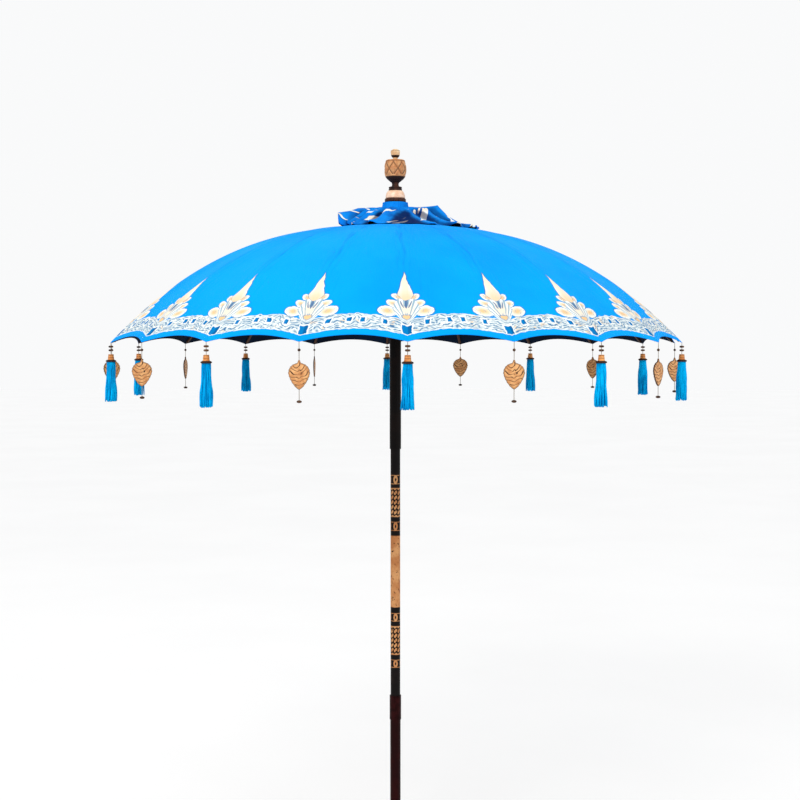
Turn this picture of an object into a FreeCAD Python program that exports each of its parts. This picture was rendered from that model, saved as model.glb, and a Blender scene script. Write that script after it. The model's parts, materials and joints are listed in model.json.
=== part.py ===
"""Garden parasol with a domed cotton canopy, twenty wooden ribs and struts, and a turned finial.

Lengths are millimetres and angles are degrees. The origin is the centre of the pole's foot and +Z
is up the pole. Rib 1 points along -Y, and the numbers run anticlockwise seen from above.
Each rib is drawn in the XZ plane, pointing along +X, and is then turned about the pole.
"""
import FreeCAD, Part
import math
import os

import Sketcher

Vector = FreeCAD.Vector
UP = Vector(0, 0, 1)

# name, value, what it is. A value that starts with = is worked out from the ones above it.
DIMENSIONS = (
    ("zero", "0", "the plane that the foot stands on"),
    ("rib_count", "20", "ribs, struts and hanging drops round the canopy"),
    ("fold_angle", "62", "how far each rib drops when the parasol is shut"),
    # canopy
    ("canopy_radius", "1000", "hem at a rib tip"),
    ("rim_height", "1800", "height of the hem at a rib tip"),
    ("dome_rise", "410", "height of the dome above its hem"),
    ("dome_power", "2.6", "how flat the dome is on top"),
    ("canopy_thickness", "1.2", "cloth and its lining"),
    ("canopy_hole", "19", "radius of the hole for the pole"),
    ("scallop_rise", "28", "how far the hem rises between two ribs"),
    # pole
    ("foot_radius", "18.5", "lower pole"),
    ("shoulder_height", "457", "where the sleeve starts"),
    ("joint_height", "500", "where the two poles meet"),
    ("sleeve_length", "86", "sleeve over the joint"),
    ("sleeve_radius", "20.5", "outside of the sleeve"),
    ("pole_radius", "17.25", "upper pole"),
    ("pole_top", "2296.5", "shoulder under the finial"),
    ("spigot_radius", "7", "spigot that holds the finial"),
    ("spigot_top", "2460", "end of the spigot"),
    # hub and runner
    ("pivot_ring", "34", "radius of the wire rings that the ribs and struts turn on"),
    ("hub_depth", "12", "how far the hub's wire is below the dome"),
    ("crown_radius", "44", "outside of the hub and of the runner's head"),
    ("slot_width", "5.6", "slots in the hub, the runner's head and the strut forks"),
    ("slot_bottom", "27.5", "radius at the bottom of a slot"),
    ("crown_below", "12", "crown below its wire"),
    ("crown_above", "9", "crown above its wire"),
    ("wire_radius", "1", "wire of the two rings"),
    ("groove_radius", "1.2", "channel for the wire in a crown"),
    ("wire_hole", "1.15", "radius of the hole for the wire in a rib or strut"),
    ("tube_radius", "20.25", "outside of the runner's tube"),
    ("tube_bore", "17.75", "inside of the runner's tube"),
    ("tube_bottom", "1425", "lower end of the runner's tube"),
    # ribs and struts
    ("rib_width", "10", "width of a rib"),
    ("rib_depth", "9.5", "depth of a rib at the hub"),
    ("tip_depth", "6", "depth of a rib at its tip"),
    ("rib_gap", "2", "from the dome's outer face to the top of a rib"),
    ("bar_start", "56", "radius where a rib gets its full width"),
    ("rib_end", "992", "radius of a rib's tip"),
    ("tongue_width", "5", "tongues of the ribs and struts"),
    ("eye_radius", "4.5", "round ends of the tongues"),
    ("tongue_end", "80", "radius where a rib's tongue runs out inside its bar"),
    ("strut_at", "550", "radius of the pin between a rib and its strut"),
    ("lug_drop", "19", "how far that pin is below the dome"),
    ("strut_width", "11", "width of a strut"),
    ("strut_tongue", "34", "length of a strut's tongue"),
    ("strut_bar_start", "30", "from the runner's wire to a strut's full width"),
    ("fork_depth", "10", "depth of a strut's fork from its pin"),
    ("pin_radius", "1.5", "pin between a rib and its strut"),
    ("pin_hole", "1.55", "hole for that pin"),
    ("pin_length", "13", "length of that pin"),
    # lock pin, in a boss on the back of the runner's tube
    ("lock_height", "1450", "height of the lock pin"),
    ("lock_radius", "2.5", "radius of the lock pin"),
    ("lock_hole", "2.55", "its hole in the boss"),
    ("lock_seat", "2.9", "its two cross holes in the pole"),
    ("lock_tip", "17.8", "tip of the pin, drawn back clear of the pole"),
    ("boss_radius", "8", "boss on the tube"),
    ("boss_end", "26", "face of the boss, from the pole's axis"),
    ("lock_knob_radius", "6", "knob of the pin"),
    ("lock_knob_start", "39", "inner face of the knob, from the pole's axis"),
    ("lock_knob_length", "9", "thickness of the knob"),
    # finial, from the pole's shoulder upwards
    ("base_radius", "37.5", "dark ring under the finial"),
    ("base_top", "2310", "top of that ring"),
    ("bell_foot", "34", "foot of the finial's bell"),
    ("bell_rim", "28.5", "top of the bell"),
    ("bell_top", "2337", "height of the bell's top"),
    ("collar_radius", "23.5", "dark collar above the bell"),
    ("collar_top", "2351", "top of the collar"),
    ("neck_radius", "12.5", "neck above the collar"),
    ("neck_top", "2367", "top of the neck"),
    ("bulb_foot", "15", "carved bulb where it starts"),
    ("bulb_radius", "39", "carved bulb at its widest"),
    ("bulb_middle", "2412", "height of the widest place"),
    ("bulb_top_radius", "31.5", "carved bulb at its top"),
    ("bulb_top", "2446", "top of the bulb"),
    ("stem_radius", "9", "stem under the knob"),
    ("stem_top", "2453", "top of that stem"),
    ("knob_radius", "16.5", "knob"),
    ("knob_middle", "2470", "height of the knob's widest place"),
    ("knob_shoulder", "12.4", "knob's dome halfway to its top"),
    ("knob_shoulder_height", "2479.9", "height of that place"),
    ("knob_tip", "4", "flat on top of the knob"),
    ("finial_top", "2484", "top of the knob"),
    # cloth ruffle round the top of the pole
    ("ruffle_neck", "46", "gathered neck of the ruffle"),
    ("ruffle_peak", "140", "where the ruffle stands highest"),
    ("ruffle_peak_height", "2276", "height of that place"),
    ("ruffle_edge", "250", "free edge of the ruffle"),
    ("ruffle_edge_height", "2206", "height of that edge"),
    ("ruffle_top", "2295", "top of the gathered neck"),
    ("ruffle_thickness", "3", "cloth with its gathers"),
    # hanging drops, measured down from the hem
    ("drop_radius", "998", "circle that the drops hang on"),
    ("cord_radius", "1", "cord that a drop hangs on"),
    ("bore_radius", "1.3", "bore of the beads and caps"),
    ("cord_gap", "1", "from the hem to the top of a cord"),
    ("disk_radius", "8", "flat bead of a tassel"),
    ("disk_thickness", "6.5", "its thickness"),
    ("upper_disk", "16.5", "underside of the upper flat bead"),
    ("lower_disk", "28.5", "underside of the lower flat bead"),
    ("cap_top", "38", "top of a tassel's cap"),
    ("cap_bottom", "63.5", "mouth of the cap"),
    ("cap_top_radius", "8.5", "cap at its top"),
    ("cap_radius", "17", "cap at its mouth"),
    ("skirt_top", "64", "top of a tassel's skirt"),
    ("skirt_bottom", "195", "ends of the yarn"),
    ("skirt_top_radius", "12.5", "skirt under the cap"),
    ("skirt_radius", "21", "skirt at its ends"),
    ("upper_bead", "24", "centre of a leaf drop's upper bead"),
    ("upper_bead_radius", "4.5", "its radius"),
    ("leaf_top", "50", "top of a leaf"),
    ("leaf_shoulder", "83", "height where a leaf is widest"),
    ("leaf_bottom", "138", "point of a leaf"),
    ("leaf_half_width", "31.5", "half of a leaf's width"),
    ("leaf_thickness", "4", "thickness of a leaf"),
    ("leaf_gap", "0.4", "between a leaf and the ends of its cords"),
    ("lower_bead", "172", "centre of a leaf drop's lower bead"),
    ("lower_bead_radius", "6.5", "its radius"),
)

# Heights worked out from the ones above.
DERIVED = (
    ("apex_height", "=rim_height + dome_rise", "top of the dome"),
    ("sleeve_top", "=shoulder_height + sleeve_length", "upper end of the sleeve"),
    ("hub_height", "=apex_height - hub_depth", "height of the hub's wire"),
    ("pin_height", "=apex_height - lug_drop - dome_rise * (strut_at / canopy_radius) ^ dome_power",
     "height of the pins between ribs and struts"),
    ("runner_height", "=2 * pin_height - hub_height", "height of the runner's wire"),
    ("hub_top", "=hub_height + crown_above", "top of the hub"),
    ("hub_bottom", "=hub_height - crown_below", "underside of the hub"),
    ("head_top", "=runner_height + crown_above", "top of the runner's head"),
    ("head_bottom", "=runner_height - crown_below", "underside of the runner's head"),
    ("hem_height", "=rim_height - cord_gap", "top of the cords"),
)

# How far each leaf is turned about its cord, in degrees, from facing along -Y, in order round the hem.
LEAF_TURNS = (0, 50, 25, -50, 0, 86, 84, 35, 4, -3)

RIB_STATIONS = (160, 300, 450, 600, 740, 870)
CANOPY_STATIONS = (120, 260, 400, 540, 680, 800, 910)

document = FreeCAD.newDocument("parasol")
sheet = document.addObject("Spreadsheet::Sheet", "dims")
for row, (alias, value, meaning) in enumerate(DIMENSIONS + DERIVED, start=1):
    sheet.set(f"A{row}", meaning)
    sheet.set(f"B{row}", value)
    sheet.setAlias(f"B{row}", alias)
document.recompute()


def size(alias):
    """The number in the sheet's cell of that name."""
    return float(sheet.get(alias))


# ---------------------------------------------------------------- geometry of the dome and linkage


def dome_height(radius):
    """Height of the canopy's outer face at a distance from the pole."""
    return size("rim_height") + size("dome_rise") * (
        1 - (radius / size("canopy_radius")) ** size("dome_power")
    )


def below_dome(radius, depth):
    """The point in the XZ plane that lies a depth under the dome, square to it."""
    slope = math.atan(
        size("dome_rise") * size("dome_power") / size("canopy_radius")
        * (radius / size("canopy_radius")) ** (size("dome_power") - 1)
    )
    across = radius - depth * math.sin(slope)
    return Vector(across, dome_height(radius) - depth * math.cos(slope), 0)


def rib_bottom_depth(radius):
    """Depth of a rib's underside below the dome: the rib gets thinner towards its tip."""
    share = (radius - size("bar_start")) / (size("rib_end") - size("bar_start"))
    depth = size("rib_depth") + share * (size("tip_depth") - size("rib_depth"))
    return size("rib_gap") + depth


hub_pivot = Vector(size("pivot_ring"), size("hub_height"), 0)
strut_pivot = Vector(size("strut_at"), size("pin_height"), 0)
runner_pivot = Vector(size("pivot_ring"), size("runner_height"), 0)
link_length = (strut_pivot - hub_pivot).Length
link_slope = math.atan2(hub_pivot.y - strut_pivot.y, strut_pivot.x - hub_pivot.x)
folded_slope = link_slope + math.radians(size("fold_angle"))
runner_travel = 2 * link_length * (math.sin(folded_slope) - math.sin(link_slope))


def round_the_pole(index):
    """Placement of rib, strut or drop number index, counted from 0."""
    turn = 360.0 / size("rib_count") * index - 90
    return FreeCAD.Placement(Vector(0, 0, 0), FreeCAD.Rotation(UP, turn))


# ---------------------------------------------------------------- helpers for bodies and sketches


def bind(thing, **cells):
    """Bind properties to cells: Radius="pole_radius" makes Radius follow that cell."""
    for name, alias in cells.items():
        thing.setExpression(name, f"dims.{alias}")


def new_body(label):
    body = document.addObject("PartDesign::Body", label)
    body.Label = label
    return body


def new_sketch(body, role, name):
    """A sketch on one of the body's own origin planes."""
    plane = next(p for p in body.Origin.OriginFeatures if p.Role == role)
    sketch = body.newObject("Sketcher::SketchObject", f"{name}_{body.Name}")
    sketch.AttachmentSupport = [(plane, "")]
    sketch.MapMode = "FlatFace"
    return sketch


def axis_of(body, role):
    return next(a for a in body.Origin.OriginFeatures if a.Role == role)


def add_outline(sketch, corners):
    """A closed outline of lines through the given points."""
    for start, end in zip(corners, corners[1:] + corners[:1]):
        sketch.addGeometry(Part.LineSegment(start, end), False)


def add_curve(sketch, points):
    """A smooth curve through the given points."""
    curve = Part.BSplineCurve()
    curve.interpolate(points)
    sketch.addGeometry(curve, False)


def add_round_bar(sketch, start, end, half_width):
    """A bar's outline: flat at its start and rounded about its end."""
    along = (end - start).normalize()
    side = Vector(-along.y, along.x, 0) * half_width
    sketch.addGeometry(Part.LineSegment(start - side, end - side), False)
    sketch.addGeometry(Part.Arc(end - side, end + along * half_width, end + side), False)
    sketch.addGeometry(Part.LineSegment(end + side, start + side), False)
    sketch.addGeometry(Part.LineSegment(start + side, start - side), False)


def add_profile(sketch, corners):
    """A closed profile whose corners follow cells of the sheet.

    A corner is (radius cell, height cell). A third entry, (radius cell, height cell), makes the edge
    to the next corner an arc through that point. The cell name "axis" means radius 0.
    """
    def point(radius, height):
        return Vector(0 if radius == "axis" else size(radius), size(height), 0)

    ends = []
    for corner, following in zip(corners, corners[1:] + corners[:1]):
        start, end = point(*corner[:2]), point(*following[:2])
        if len(corner) == 3:
            edge = Part.Arc(start, point(*corner[2]), end)
        else:
            edge = Part.LineSegment(start, end)
        number = sketch.addGeometry(edge, False)
        forward = (sketch.getPoint(number, 1) - start).Length < 1e-6
        ends.append((number, 1 if forward else 2, 2 if forward else 1))
    for (number, _, last), (after, first, _) in zip(ends, ends[1:] + ends[:1]):
        sketch.addConstraint(Sketcher.Constraint("Coincident", number, last, after, first))
    for corner, (number, first, _) in zip(corners, ends):
        radius, height = corner[:2]
        if radius == "axis":
            sketch.addConstraint(Sketcher.Constraint("PointOnObject", number, first, -2))
        else:
            follow_cell(sketch, "DistanceX", number, first, radius)
        follow_cell(sketch, "DistanceY", number, first, height)


def follow_cell(sketch, kind, number, end, alias):
    """Hold one end of an edge at the distance from the origin that a cell states."""
    made = sketch.addConstraint(Sketcher.Constraint(kind, -1, 1, number, end, size(alias)))
    sketch.setExpression(f"Constraints[{made}]", f"dims.{alias}")


def pad(body, sketch, width, name="bar"):
    """Pad a sketch by the width in a cell, half to each side."""
    feature = body.newObject("PartDesign::Pad", f"{name}_{body.Name}")
    feature.Profile = sketch
    feature.Midplane = True
    bind(feature, Length=width)
    sketch.Visibility = False
    return feature


def cut_through(body, sketch, name="hole"):
    """Cut a sketch through the whole body, to both sides."""
    feature = body.newObject("PartDesign::Pocket", f"{name}_{body.Name}")
    feature.Profile = sketch
    feature.Type = "ThroughAll"
    feature.Midplane = True
    return feature


def turned(label, corners):
    """A piece turned about the pole's axis, with a profile of cells."""
    body = new_body(label)
    sketch = new_sketch(body, "XZ_Plane", "profile")
    add_profile(sketch, corners)
    revolve(body, sketch)
    return body


def revolve(body, sketch):
    feature = body.newObject("PartDesign::Revolution", f"turning_{body.Name}")
    feature.Profile = sketch
    feature.ReferenceAxis = (sketch, ["V_Axis"])
    feature.Angle = 360
    return feature


def round_array(body, feature, name):
    """Repeat a feature at every rib."""
    pattern = body.newObject("PartDesign::PolarPattern", f"{name}_{body.Name}")
    pattern.Originals = [feature]
    pattern.Axis = (axis_of(body, "Z_Axis"), [""])
    pattern.Angle = 360
    bind(pattern, Occurrences="rib_count")
    body.Tip = pattern
    return pattern


def cylinder(name, radius, start, end, placement=None):
    """A cylinder along its own Z, between two heights given as sheet expressions."""
    shape = document.addObject("Part::Cylinder", name)
    shape.setExpression("Radius", f"dims.{radius}")
    shape.setExpression("Height", f"{end} - ({start})")
    if placement is not None:
        shape.Placement = placement
    return shape


# ---------------------------------------------------------------- pole and finial


def make_lower_pole():
    return turned("lower_pole", [
        ("axis", "zero"), ("foot_radius", "zero"), ("foot_radius", "shoulder_height"),
        ("pole_radius", "shoulder_height"), ("pole_radius", "joint_height"), ("axis", "joint_height"),
    ])


def make_upper_pole():
    """The upper pole, with a spigot for the finial and two cross holes for the lock pin at its back."""
    body = turned("upper_pole", [
        ("axis", "joint_height"), ("pole_radius", "joint_height"), ("pole_radius", "pole_top"),
        ("spigot_radius", "pole_top"), ("spigot_radius", "spigot_top"), ("axis", "spigot_top"),
    ])
    document.recompute()
    whole = body.Shape.Volume
    sketch = new_sketch(body, "XZ_Plane", "lock_holes")
    for height in (size("lock_height"), size("lock_height") - runner_travel):
        sketch.addGeometry(Part.Circle(Vector(0, height, 0), Vector(0, 0, 1), size("lock_seat")), False)
    holes = body.newObject("PartDesign::Pocket", "lock_holes_cut")
    holes.Profile = sketch
    holes.Type = "ThroughAll"
    holes.Reversed = False
    document.recompute()
    back = body.Shape.common(Part.makeBox(40, 20, 40, Vector(-20, 1, size("lock_height") - 20)))
    if back.Volume > math.pi * size("pole_radius") ** 2 / 2 * 40 - 350:
        holes.Reversed = True
        document.recompute()
    if not body.Shape.Volume < whole:
        raise RuntimeError("the cross holes cut nothing")
    return body


def make_pole_sleeve():
    return turned("pole_sleeve", [
        ("pole_radius", "shoulder_height"), ("sleeve_radius", "shoulder_height"),
        ("sleeve_radius", "sleeve_top"), ("pole_radius", "sleeve_top"),
    ])


def make_finial():
    """Four turned pieces, one above the other on the pole's spigot."""
    turned("finial_base", [
        ("spigot_radius", "pole_top"), ("base_radius", "pole_top"), ("base_radius", "base_top"),
        ("bell_foot", "base_top"), ("bell_rim", "bell_top"), ("spigot_radius", "bell_top"),
    ])
    turned("finial_collar", [
        ("spigot_radius", "bell_top"), ("collar_radius", "bell_top"), ("collar_radius", "collar_top"),
        ("neck_radius", "collar_top"), ("neck_radius", "neck_top"), ("spigot_radius", "neck_top"),
    ])
    turned("finial_bulb", [
        ("spigot_radius", "neck_top"), ("bulb_foot", "neck_top", ("bulb_radius", "bulb_middle")),
        ("bulb_top_radius", "bulb_top"), ("spigot_radius", "bulb_top"),
    ])
    turned("finial_knob", [
        ("spigot_radius", "bulb_top"), ("stem_radius", "bulb_top"),
        ("stem_radius", "stem_top"), ("knob_radius", "knob_middle", ("knob_shoulder", "knob_shoulder_height")),
        ("knob_tip", "finial_top"),
        ("axis", "finial_top"), ("axis", "spigot_top"), ("spigot_radius", "spigot_top"),
    ])


# ---------------------------------------------------------------- hub and runner


def make_crown(label, pivot, bore, top, bottom, slot_low, slot_high):
    """A slotted crown: a ring with a slot for each rib or strut and a channel for the wire."""
    body = turned(label, [(bore, bottom), ("crown_radius", bottom), ("crown_radius", top), (bore, top)])
    slot = new_sketch(body, "XZ_Plane", "slot")
    outside = size("crown_radius") + 5
    inside = size("slot_bottom")
    add_outline(slot, [
        Vector(inside, pivot.y + slot_low, 0), Vector(outside, pivot.y + slot_low, 0),
        Vector(outside, pivot.y + slot_high, 0), Vector(inside, pivot.y + slot_high, 0),
    ])
    cut = body.newObject("PartDesign::Pocket", f"slot_cut_{label}")
    cut.Profile = slot
    cut.Midplane = True
    bind(cut, Length="slot_width")
    round_array(body, cut, "slots")
    document.recompute()
    channel = new_sketch(body, "XZ_Plane", "channel")
    channel.addGeometry(Part.Circle(pivot, Vector(0, 0, 1), size("groove_radius")), False)
    groove = body.newObject("PartDesign::Groove", f"wire_channel_{label}")
    groove.Profile = channel
    groove.ReferenceAxis = (channel, ["V_Axis"])
    groove.Angle = 360
    body.Tip = groove
    return body


def make_wire(label, height):
    """A closed wire ring that the ribs or struts turn on."""
    ring = document.addObject("Part::Torus", label)
    ring.Label = label
    bind(ring, Radius1="pivot_ring", Radius2="wire_radius")
    ring.setExpression(".Placement.Base.z", f"dims.{height}")
    return ring


def make_runner_tube():
    """The runner's tube, with a boss on its back that guides the lock pin."""
    backwards = FreeCAD.Rotation(Vector(1, 0, 0), -90)
    at_lock = FreeCAD.Placement(Vector(0, 0, size("lock_height")), backwards)
    outside = cylinder("tube_outside", "tube_radius", "dims.tube_bottom", "dims.head_top")
    outside.setExpression(".Placement.Base.z", "dims.tube_bottom")
    boss = cylinder("lock_boss", "boss_radius", "0", "dims.boss_end", at_lock)
    body = document.addObject("Part::Fuse", "tube_with_boss")
    body.Base = outside
    body.Tool = boss
    bore = cylinder("tube_bore_tool", "tube_bore", "dims.tube_bottom", "dims.head_top")
    bore.setExpression(".Placement.Base.z", "dims.tube_bottom")
    hole = cylinder("lock_hole_tool", "lock_hole", "0", "dims.boss_end + 5", at_lock)
    tools = document.addObject("Part::Fuse", "tube_tools")
    tools.Base = bore
    tools.Tool = hole
    tube = document.addObject("Part::Cut", "runner_tube")
    tube.Label = "runner_tube"
    tube.Base = body
    tube.Tool = tools
    return tube


def make_lock_pin():
    """The pin that holds the runner up or down, drawn back clear of the pole."""
    backwards = FreeCAD.Rotation(Vector(1, 0, 0), -90)
    shank = cylinder("lock_shank", "lock_radius", "dims.lock_tip", "dims.lock_knob_start + 1")
    shank.Placement = FreeCAD.Placement(Vector(0, size("lock_tip"), size("lock_height")), backwards)
    knob = cylinder("lock_knob", "lock_knob_radius", "0", "dims.lock_knob_length")
    knob.Placement = FreeCAD.Placement(Vector(0, size("lock_knob_start"), size("lock_height")), backwards)
    pin = document.addObject("Part::Fuse", "lock_pin")
    pin.Label = "lock_pin"
    pin.Base = shank
    pin.Tool = knob
    return pin


# ---------------------------------------------------------------- ribs and struts


def make_rib(index):
    """A bent wooden rib: a bar under the dome, a tongue for the hub and a lug for the strut."""
    body = new_body(f"rib_{index + 1:02d}")
    bar = new_sketch(body, "XZ_Plane", "bar_outline")
    radii = (size("bar_start"),) + RIB_STATIONS + (size("rib_end"),)
    top = [below_dome(radius, size("rib_gap")) for radius in radii]
    bottom = [below_dome(radius, rib_bottom_depth(radius)) for radius in radii]
    add_curve(bar, top)
    add_curve(bar, bottom)
    bar.addGeometry(Part.LineSegment(top[0], bottom[0]), False)
    bar.addGeometry(Part.LineSegment(top[-1], bottom[-1]), False)
    pad(body, bar, "rib_width")

    tongue = new_sketch(body, "XZ_Plane", "tongue_outline")
    end = size("tongue_end")
    reach = size("eye_radius")
    upper, lower = hub_pivot + Vector(0, reach, 0), hub_pivot - Vector(0, reach, 0)
    end_top = below_dome(end, size("rib_gap") + 0.5)
    end_bottom = below_dome(end, rib_bottom_depth(end) - 0.5)
    tongue.addGeometry(Part.Arc(upper, hub_pivot - Vector(reach, 0, 0), lower), False)
    tongue.addGeometry(Part.LineSegment(lower, end_bottom), False)
    tongue.addGeometry(Part.LineSegment(end_bottom, end_top), False)
    tongue.addGeometry(Part.LineSegment(end_top, upper), False)
    pad(body, tongue, "tongue_width", "tongue")

    lug = new_sketch(body, "XZ_Plane", "lug_outline")
    in_the_bar = below_dome(strut_pivot.x, rib_bottom_depth(strut_pivot.x) - 3)
    add_round_bar(lug, Vector(strut_pivot.x, in_the_bar.y, 0), strut_pivot, reach)
    pad(body, lug, "tongue_width", "lug")

    holes = new_sketch(body, "XZ_Plane", "hole_outlines")
    holes.addGeometry(Part.Circle(hub_pivot, Vector(0, 0, 1), size("wire_hole")), False)
    holes.addGeometry(Part.Circle(strut_pivot, Vector(0, 0, 1), size("pin_hole")), False)
    cut_through(body, holes)
    body.Placement = round_the_pole(index)
    return body


def make_strut(index):
    """A straight strut, forked over the rib's lug, with a tongue for the runner, and its pin."""
    body = document.addObject("PartDesign::Body", f"strut_bar_{index + 1:02d}")
    along = (strut_pivot - runner_pivot).normalize()
    across = Vector(-along.y, along.x, 0)
    reach = size("eye_radius")

    bar = new_sketch(body, "XZ_Plane", "bar_outline")
    add_round_bar(bar, runner_pivot + along * size("strut_bar_start"), strut_pivot, reach)
    pad(body, bar, "strut_width")

    tongue = new_sketch(body, "XZ_Plane", "tongue_outline")
    add_round_bar(tongue, runner_pivot + along * size("strut_tongue"), runner_pivot, reach)
    pad(body, tongue, "tongue_width", "tongue")

    fork = new_sketch(body, "XZ_Plane", "fork_outline")
    near = strut_pivot - along * size("fork_depth")
    far = strut_pivot + along * size("fork_depth")
    side = across * size("fork_depth")
    add_outline(fork, [near - side, far - side, far + side, near + side])
    cut = body.newObject("PartDesign::Pocket", f"fork_{body.Name}")
    cut.Profile = fork
    cut.Midplane = True
    bind(cut, Length="slot_width")

    holes = new_sketch(body, "XZ_Plane", "hole_outlines")
    holes.addGeometry(Part.Circle(runner_pivot, Vector(0, 0, 1), size("wire_hole")), False)
    holes.addGeometry(Part.Circle(strut_pivot, Vector(0, 0, 1), size("pin_radius")), False)
    cut_through(body, holes)

    sideways = FreeCAD.Rotation(Vector(1, 0, 0), 90)
    pin = cylinder(f"strut_pin_{index + 1:02d}", "pin_radius", "0", "dims.pin_length")
    pin.Placement = FreeCAD.Placement(
        Vector(strut_pivot.x, size("pin_length") / 2, strut_pivot.y), sideways
    )
    strut = document.addObject("Part::Compound", f"strut_{index + 1:02d}")
    strut.Label = f"strut_{index + 1:02d}"
    strut.Links = [body, pin]
    strut.Placement = round_the_pole(index)
    return strut


# ---------------------------------------------------------------- cloth


def make_canopy():
    """The domed cloth, with a hem that rises between the ribs."""
    body = new_body("canopy")
    sketch = new_sketch(body, "XZ_Plane", "cloth_outline")
    radii = (size("canopy_hole"),) + CANOPY_STATIONS + (size("canopy_radius"),)
    outside = [below_dome(radius, 0) for radius in radii]
    inside = [below_dome(radius, size("canopy_thickness")) for radius in radii]
    add_curve(sketch, outside)
    add_curve(sketch, inside)
    sketch.addGeometry(Part.LineSegment(outside[0], inside[0]), False)
    sketch.addGeometry(Part.LineSegment(outside[-1], inside[-1]), False)
    revolve(body, sketch)
    document.recompute()
    whole = body.Shape.Volume

    half_gore = size("canopy_radius") * math.sin(math.pi / size("rib_count"))
    rise = size("scallop_rise")
    scallop_radius = (half_gore ** 2 + rise ** 2) / (2 * rise)
    scallop = new_sketch(body, "XZ_Plane", "scallop_outline")
    centre = Vector(0, size("rim_height") + rise - scallop_radius, 0)
    scallop.addGeometry(Part.Circle(centre, Vector(0, 0, 1), scallop_radius), False)
    cut = body.newObject("PartDesign::Pocket", "scallop_cut")
    cut.Profile = scallop
    cut.Type = "ThroughAll"
    round_array(body, cut, "scallops")
    half_step = 180.0 / size("rib_count")
    body.Placement = FreeCAD.Placement(Vector(0, 0, 0), FreeCAD.Rotation(UP, half_step))
    document.recompute()
    if not body.Shape.Volume < whole:
        raise RuntimeError("the scallops cut nothing")
    return body


def make_topper():
    """The ruffle of cloth round the top of the pole: a gathered neck and a raised skirt."""
    body = new_body("canopy_topper")
    sketch = new_sketch(body, "XZ_Plane", "ruffle_outline")
    thick = size("ruffle_thickness")
    neck, peak, edge = size("ruffle_neck"), size("ruffle_peak"), size("ruffle_edge")
    top, high, low = size("ruffle_top"), size("ruffle_peak_height"), size("ruffle_edge_height")
    dip = high - 6
    add_outline(sketch, [
        Vector(size("canopy_hole"), top, 0), Vector(neck, top, 0), Vector(neck + 12, dip, 0),
        Vector(peak, high, 0), Vector(edge, low, 0), Vector(edge - thick, low, 0),
        Vector(peak - thick, high - thick, 0), Vector(neck + 10, dip - thick, 0),
        Vector(neck - thick, top - thick, 0), Vector(size("canopy_hole"), top - thick, 0),
    ])
    revolve(body, sketch)
    return body


# ---------------------------------------------------------------- hanging drops


def hang(name, kind, index, below, **cells):
    """A primitive whose own origin is a stated depth below the hem, under rib number index."""
    shape = document.addObject(kind, f"{name}_{index + 1:02d}")
    bind(shape, **cells)
    place = round_the_pole(index)
    foot = place.multVec(Vector(size("drop_radius"), 0, 0))
    shape.Placement = FreeCAD.Placement(foot, place.Rotation)
    shape.setExpression(".Placement.Base.z", f"dims.rim_height - dims.{below}")
    return shape


def group(label, members):
    """Separate solids of one kind in one node."""
    compound = document.addObject("Part::Compound", label)
    compound.Label = label
    compound.Links = members
    return compound


def bored(label, members, bores):
    """Separate solids of one kind with a bore for their cord."""
    result = document.addObject("Part::Cut", label)
    result.Label = label
    result.Base = group(f"{label}_blanks", members)
    result.Tool = group(f"{label}_bores", bores)
    return result


def make_leaf(number, index):
    """A flat carved leaf, round at its top and pointed at its foot, turned about its cord."""
    outline = document.addObject("Sketcher::SketchObject", f"leaf_outline_{index + 1:02d}")
    top, shoulder, foot = -size("leaf_top"), -size("leaf_shoulder"), -size("leaf_bottom")
    half = size("leaf_half_width")
    middle = (shoulder + foot) / 2
    for side in (1, -1):
        add_curve(outline, [
            Vector(0, top, 0), Vector(side * 0.72 * half, top * 0.8 + shoulder * 0.2, 0),
            Vector(side * half, shoulder, 0), Vector(side * 0.62 * half, middle, 0), Vector(0, foot, 0),
        ])
    place = round_the_pole(index)
    upright = FreeCAD.Rotation(UP, LEAF_TURNS[number]).multiply(FreeCAD.Rotation(Vector(1, 0, 0), 90))
    foot_point = place.multVec(Vector(size("drop_radius"), 0, 0))
    foot_point.z = size("rim_height")
    outline.Placement = FreeCAD.Placement(foot_point, upright)
    leaf = document.addObject("Part::Extrusion", f"leaf_{index + 1:02d}")
    leaf.Base = outline
    leaf.DirMode = "Normal"
    leaf.Solid = True
    leaf.Symmetric = True
    bind(leaf, LengthFwd="leaf_thickness")
    return leaf


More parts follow.
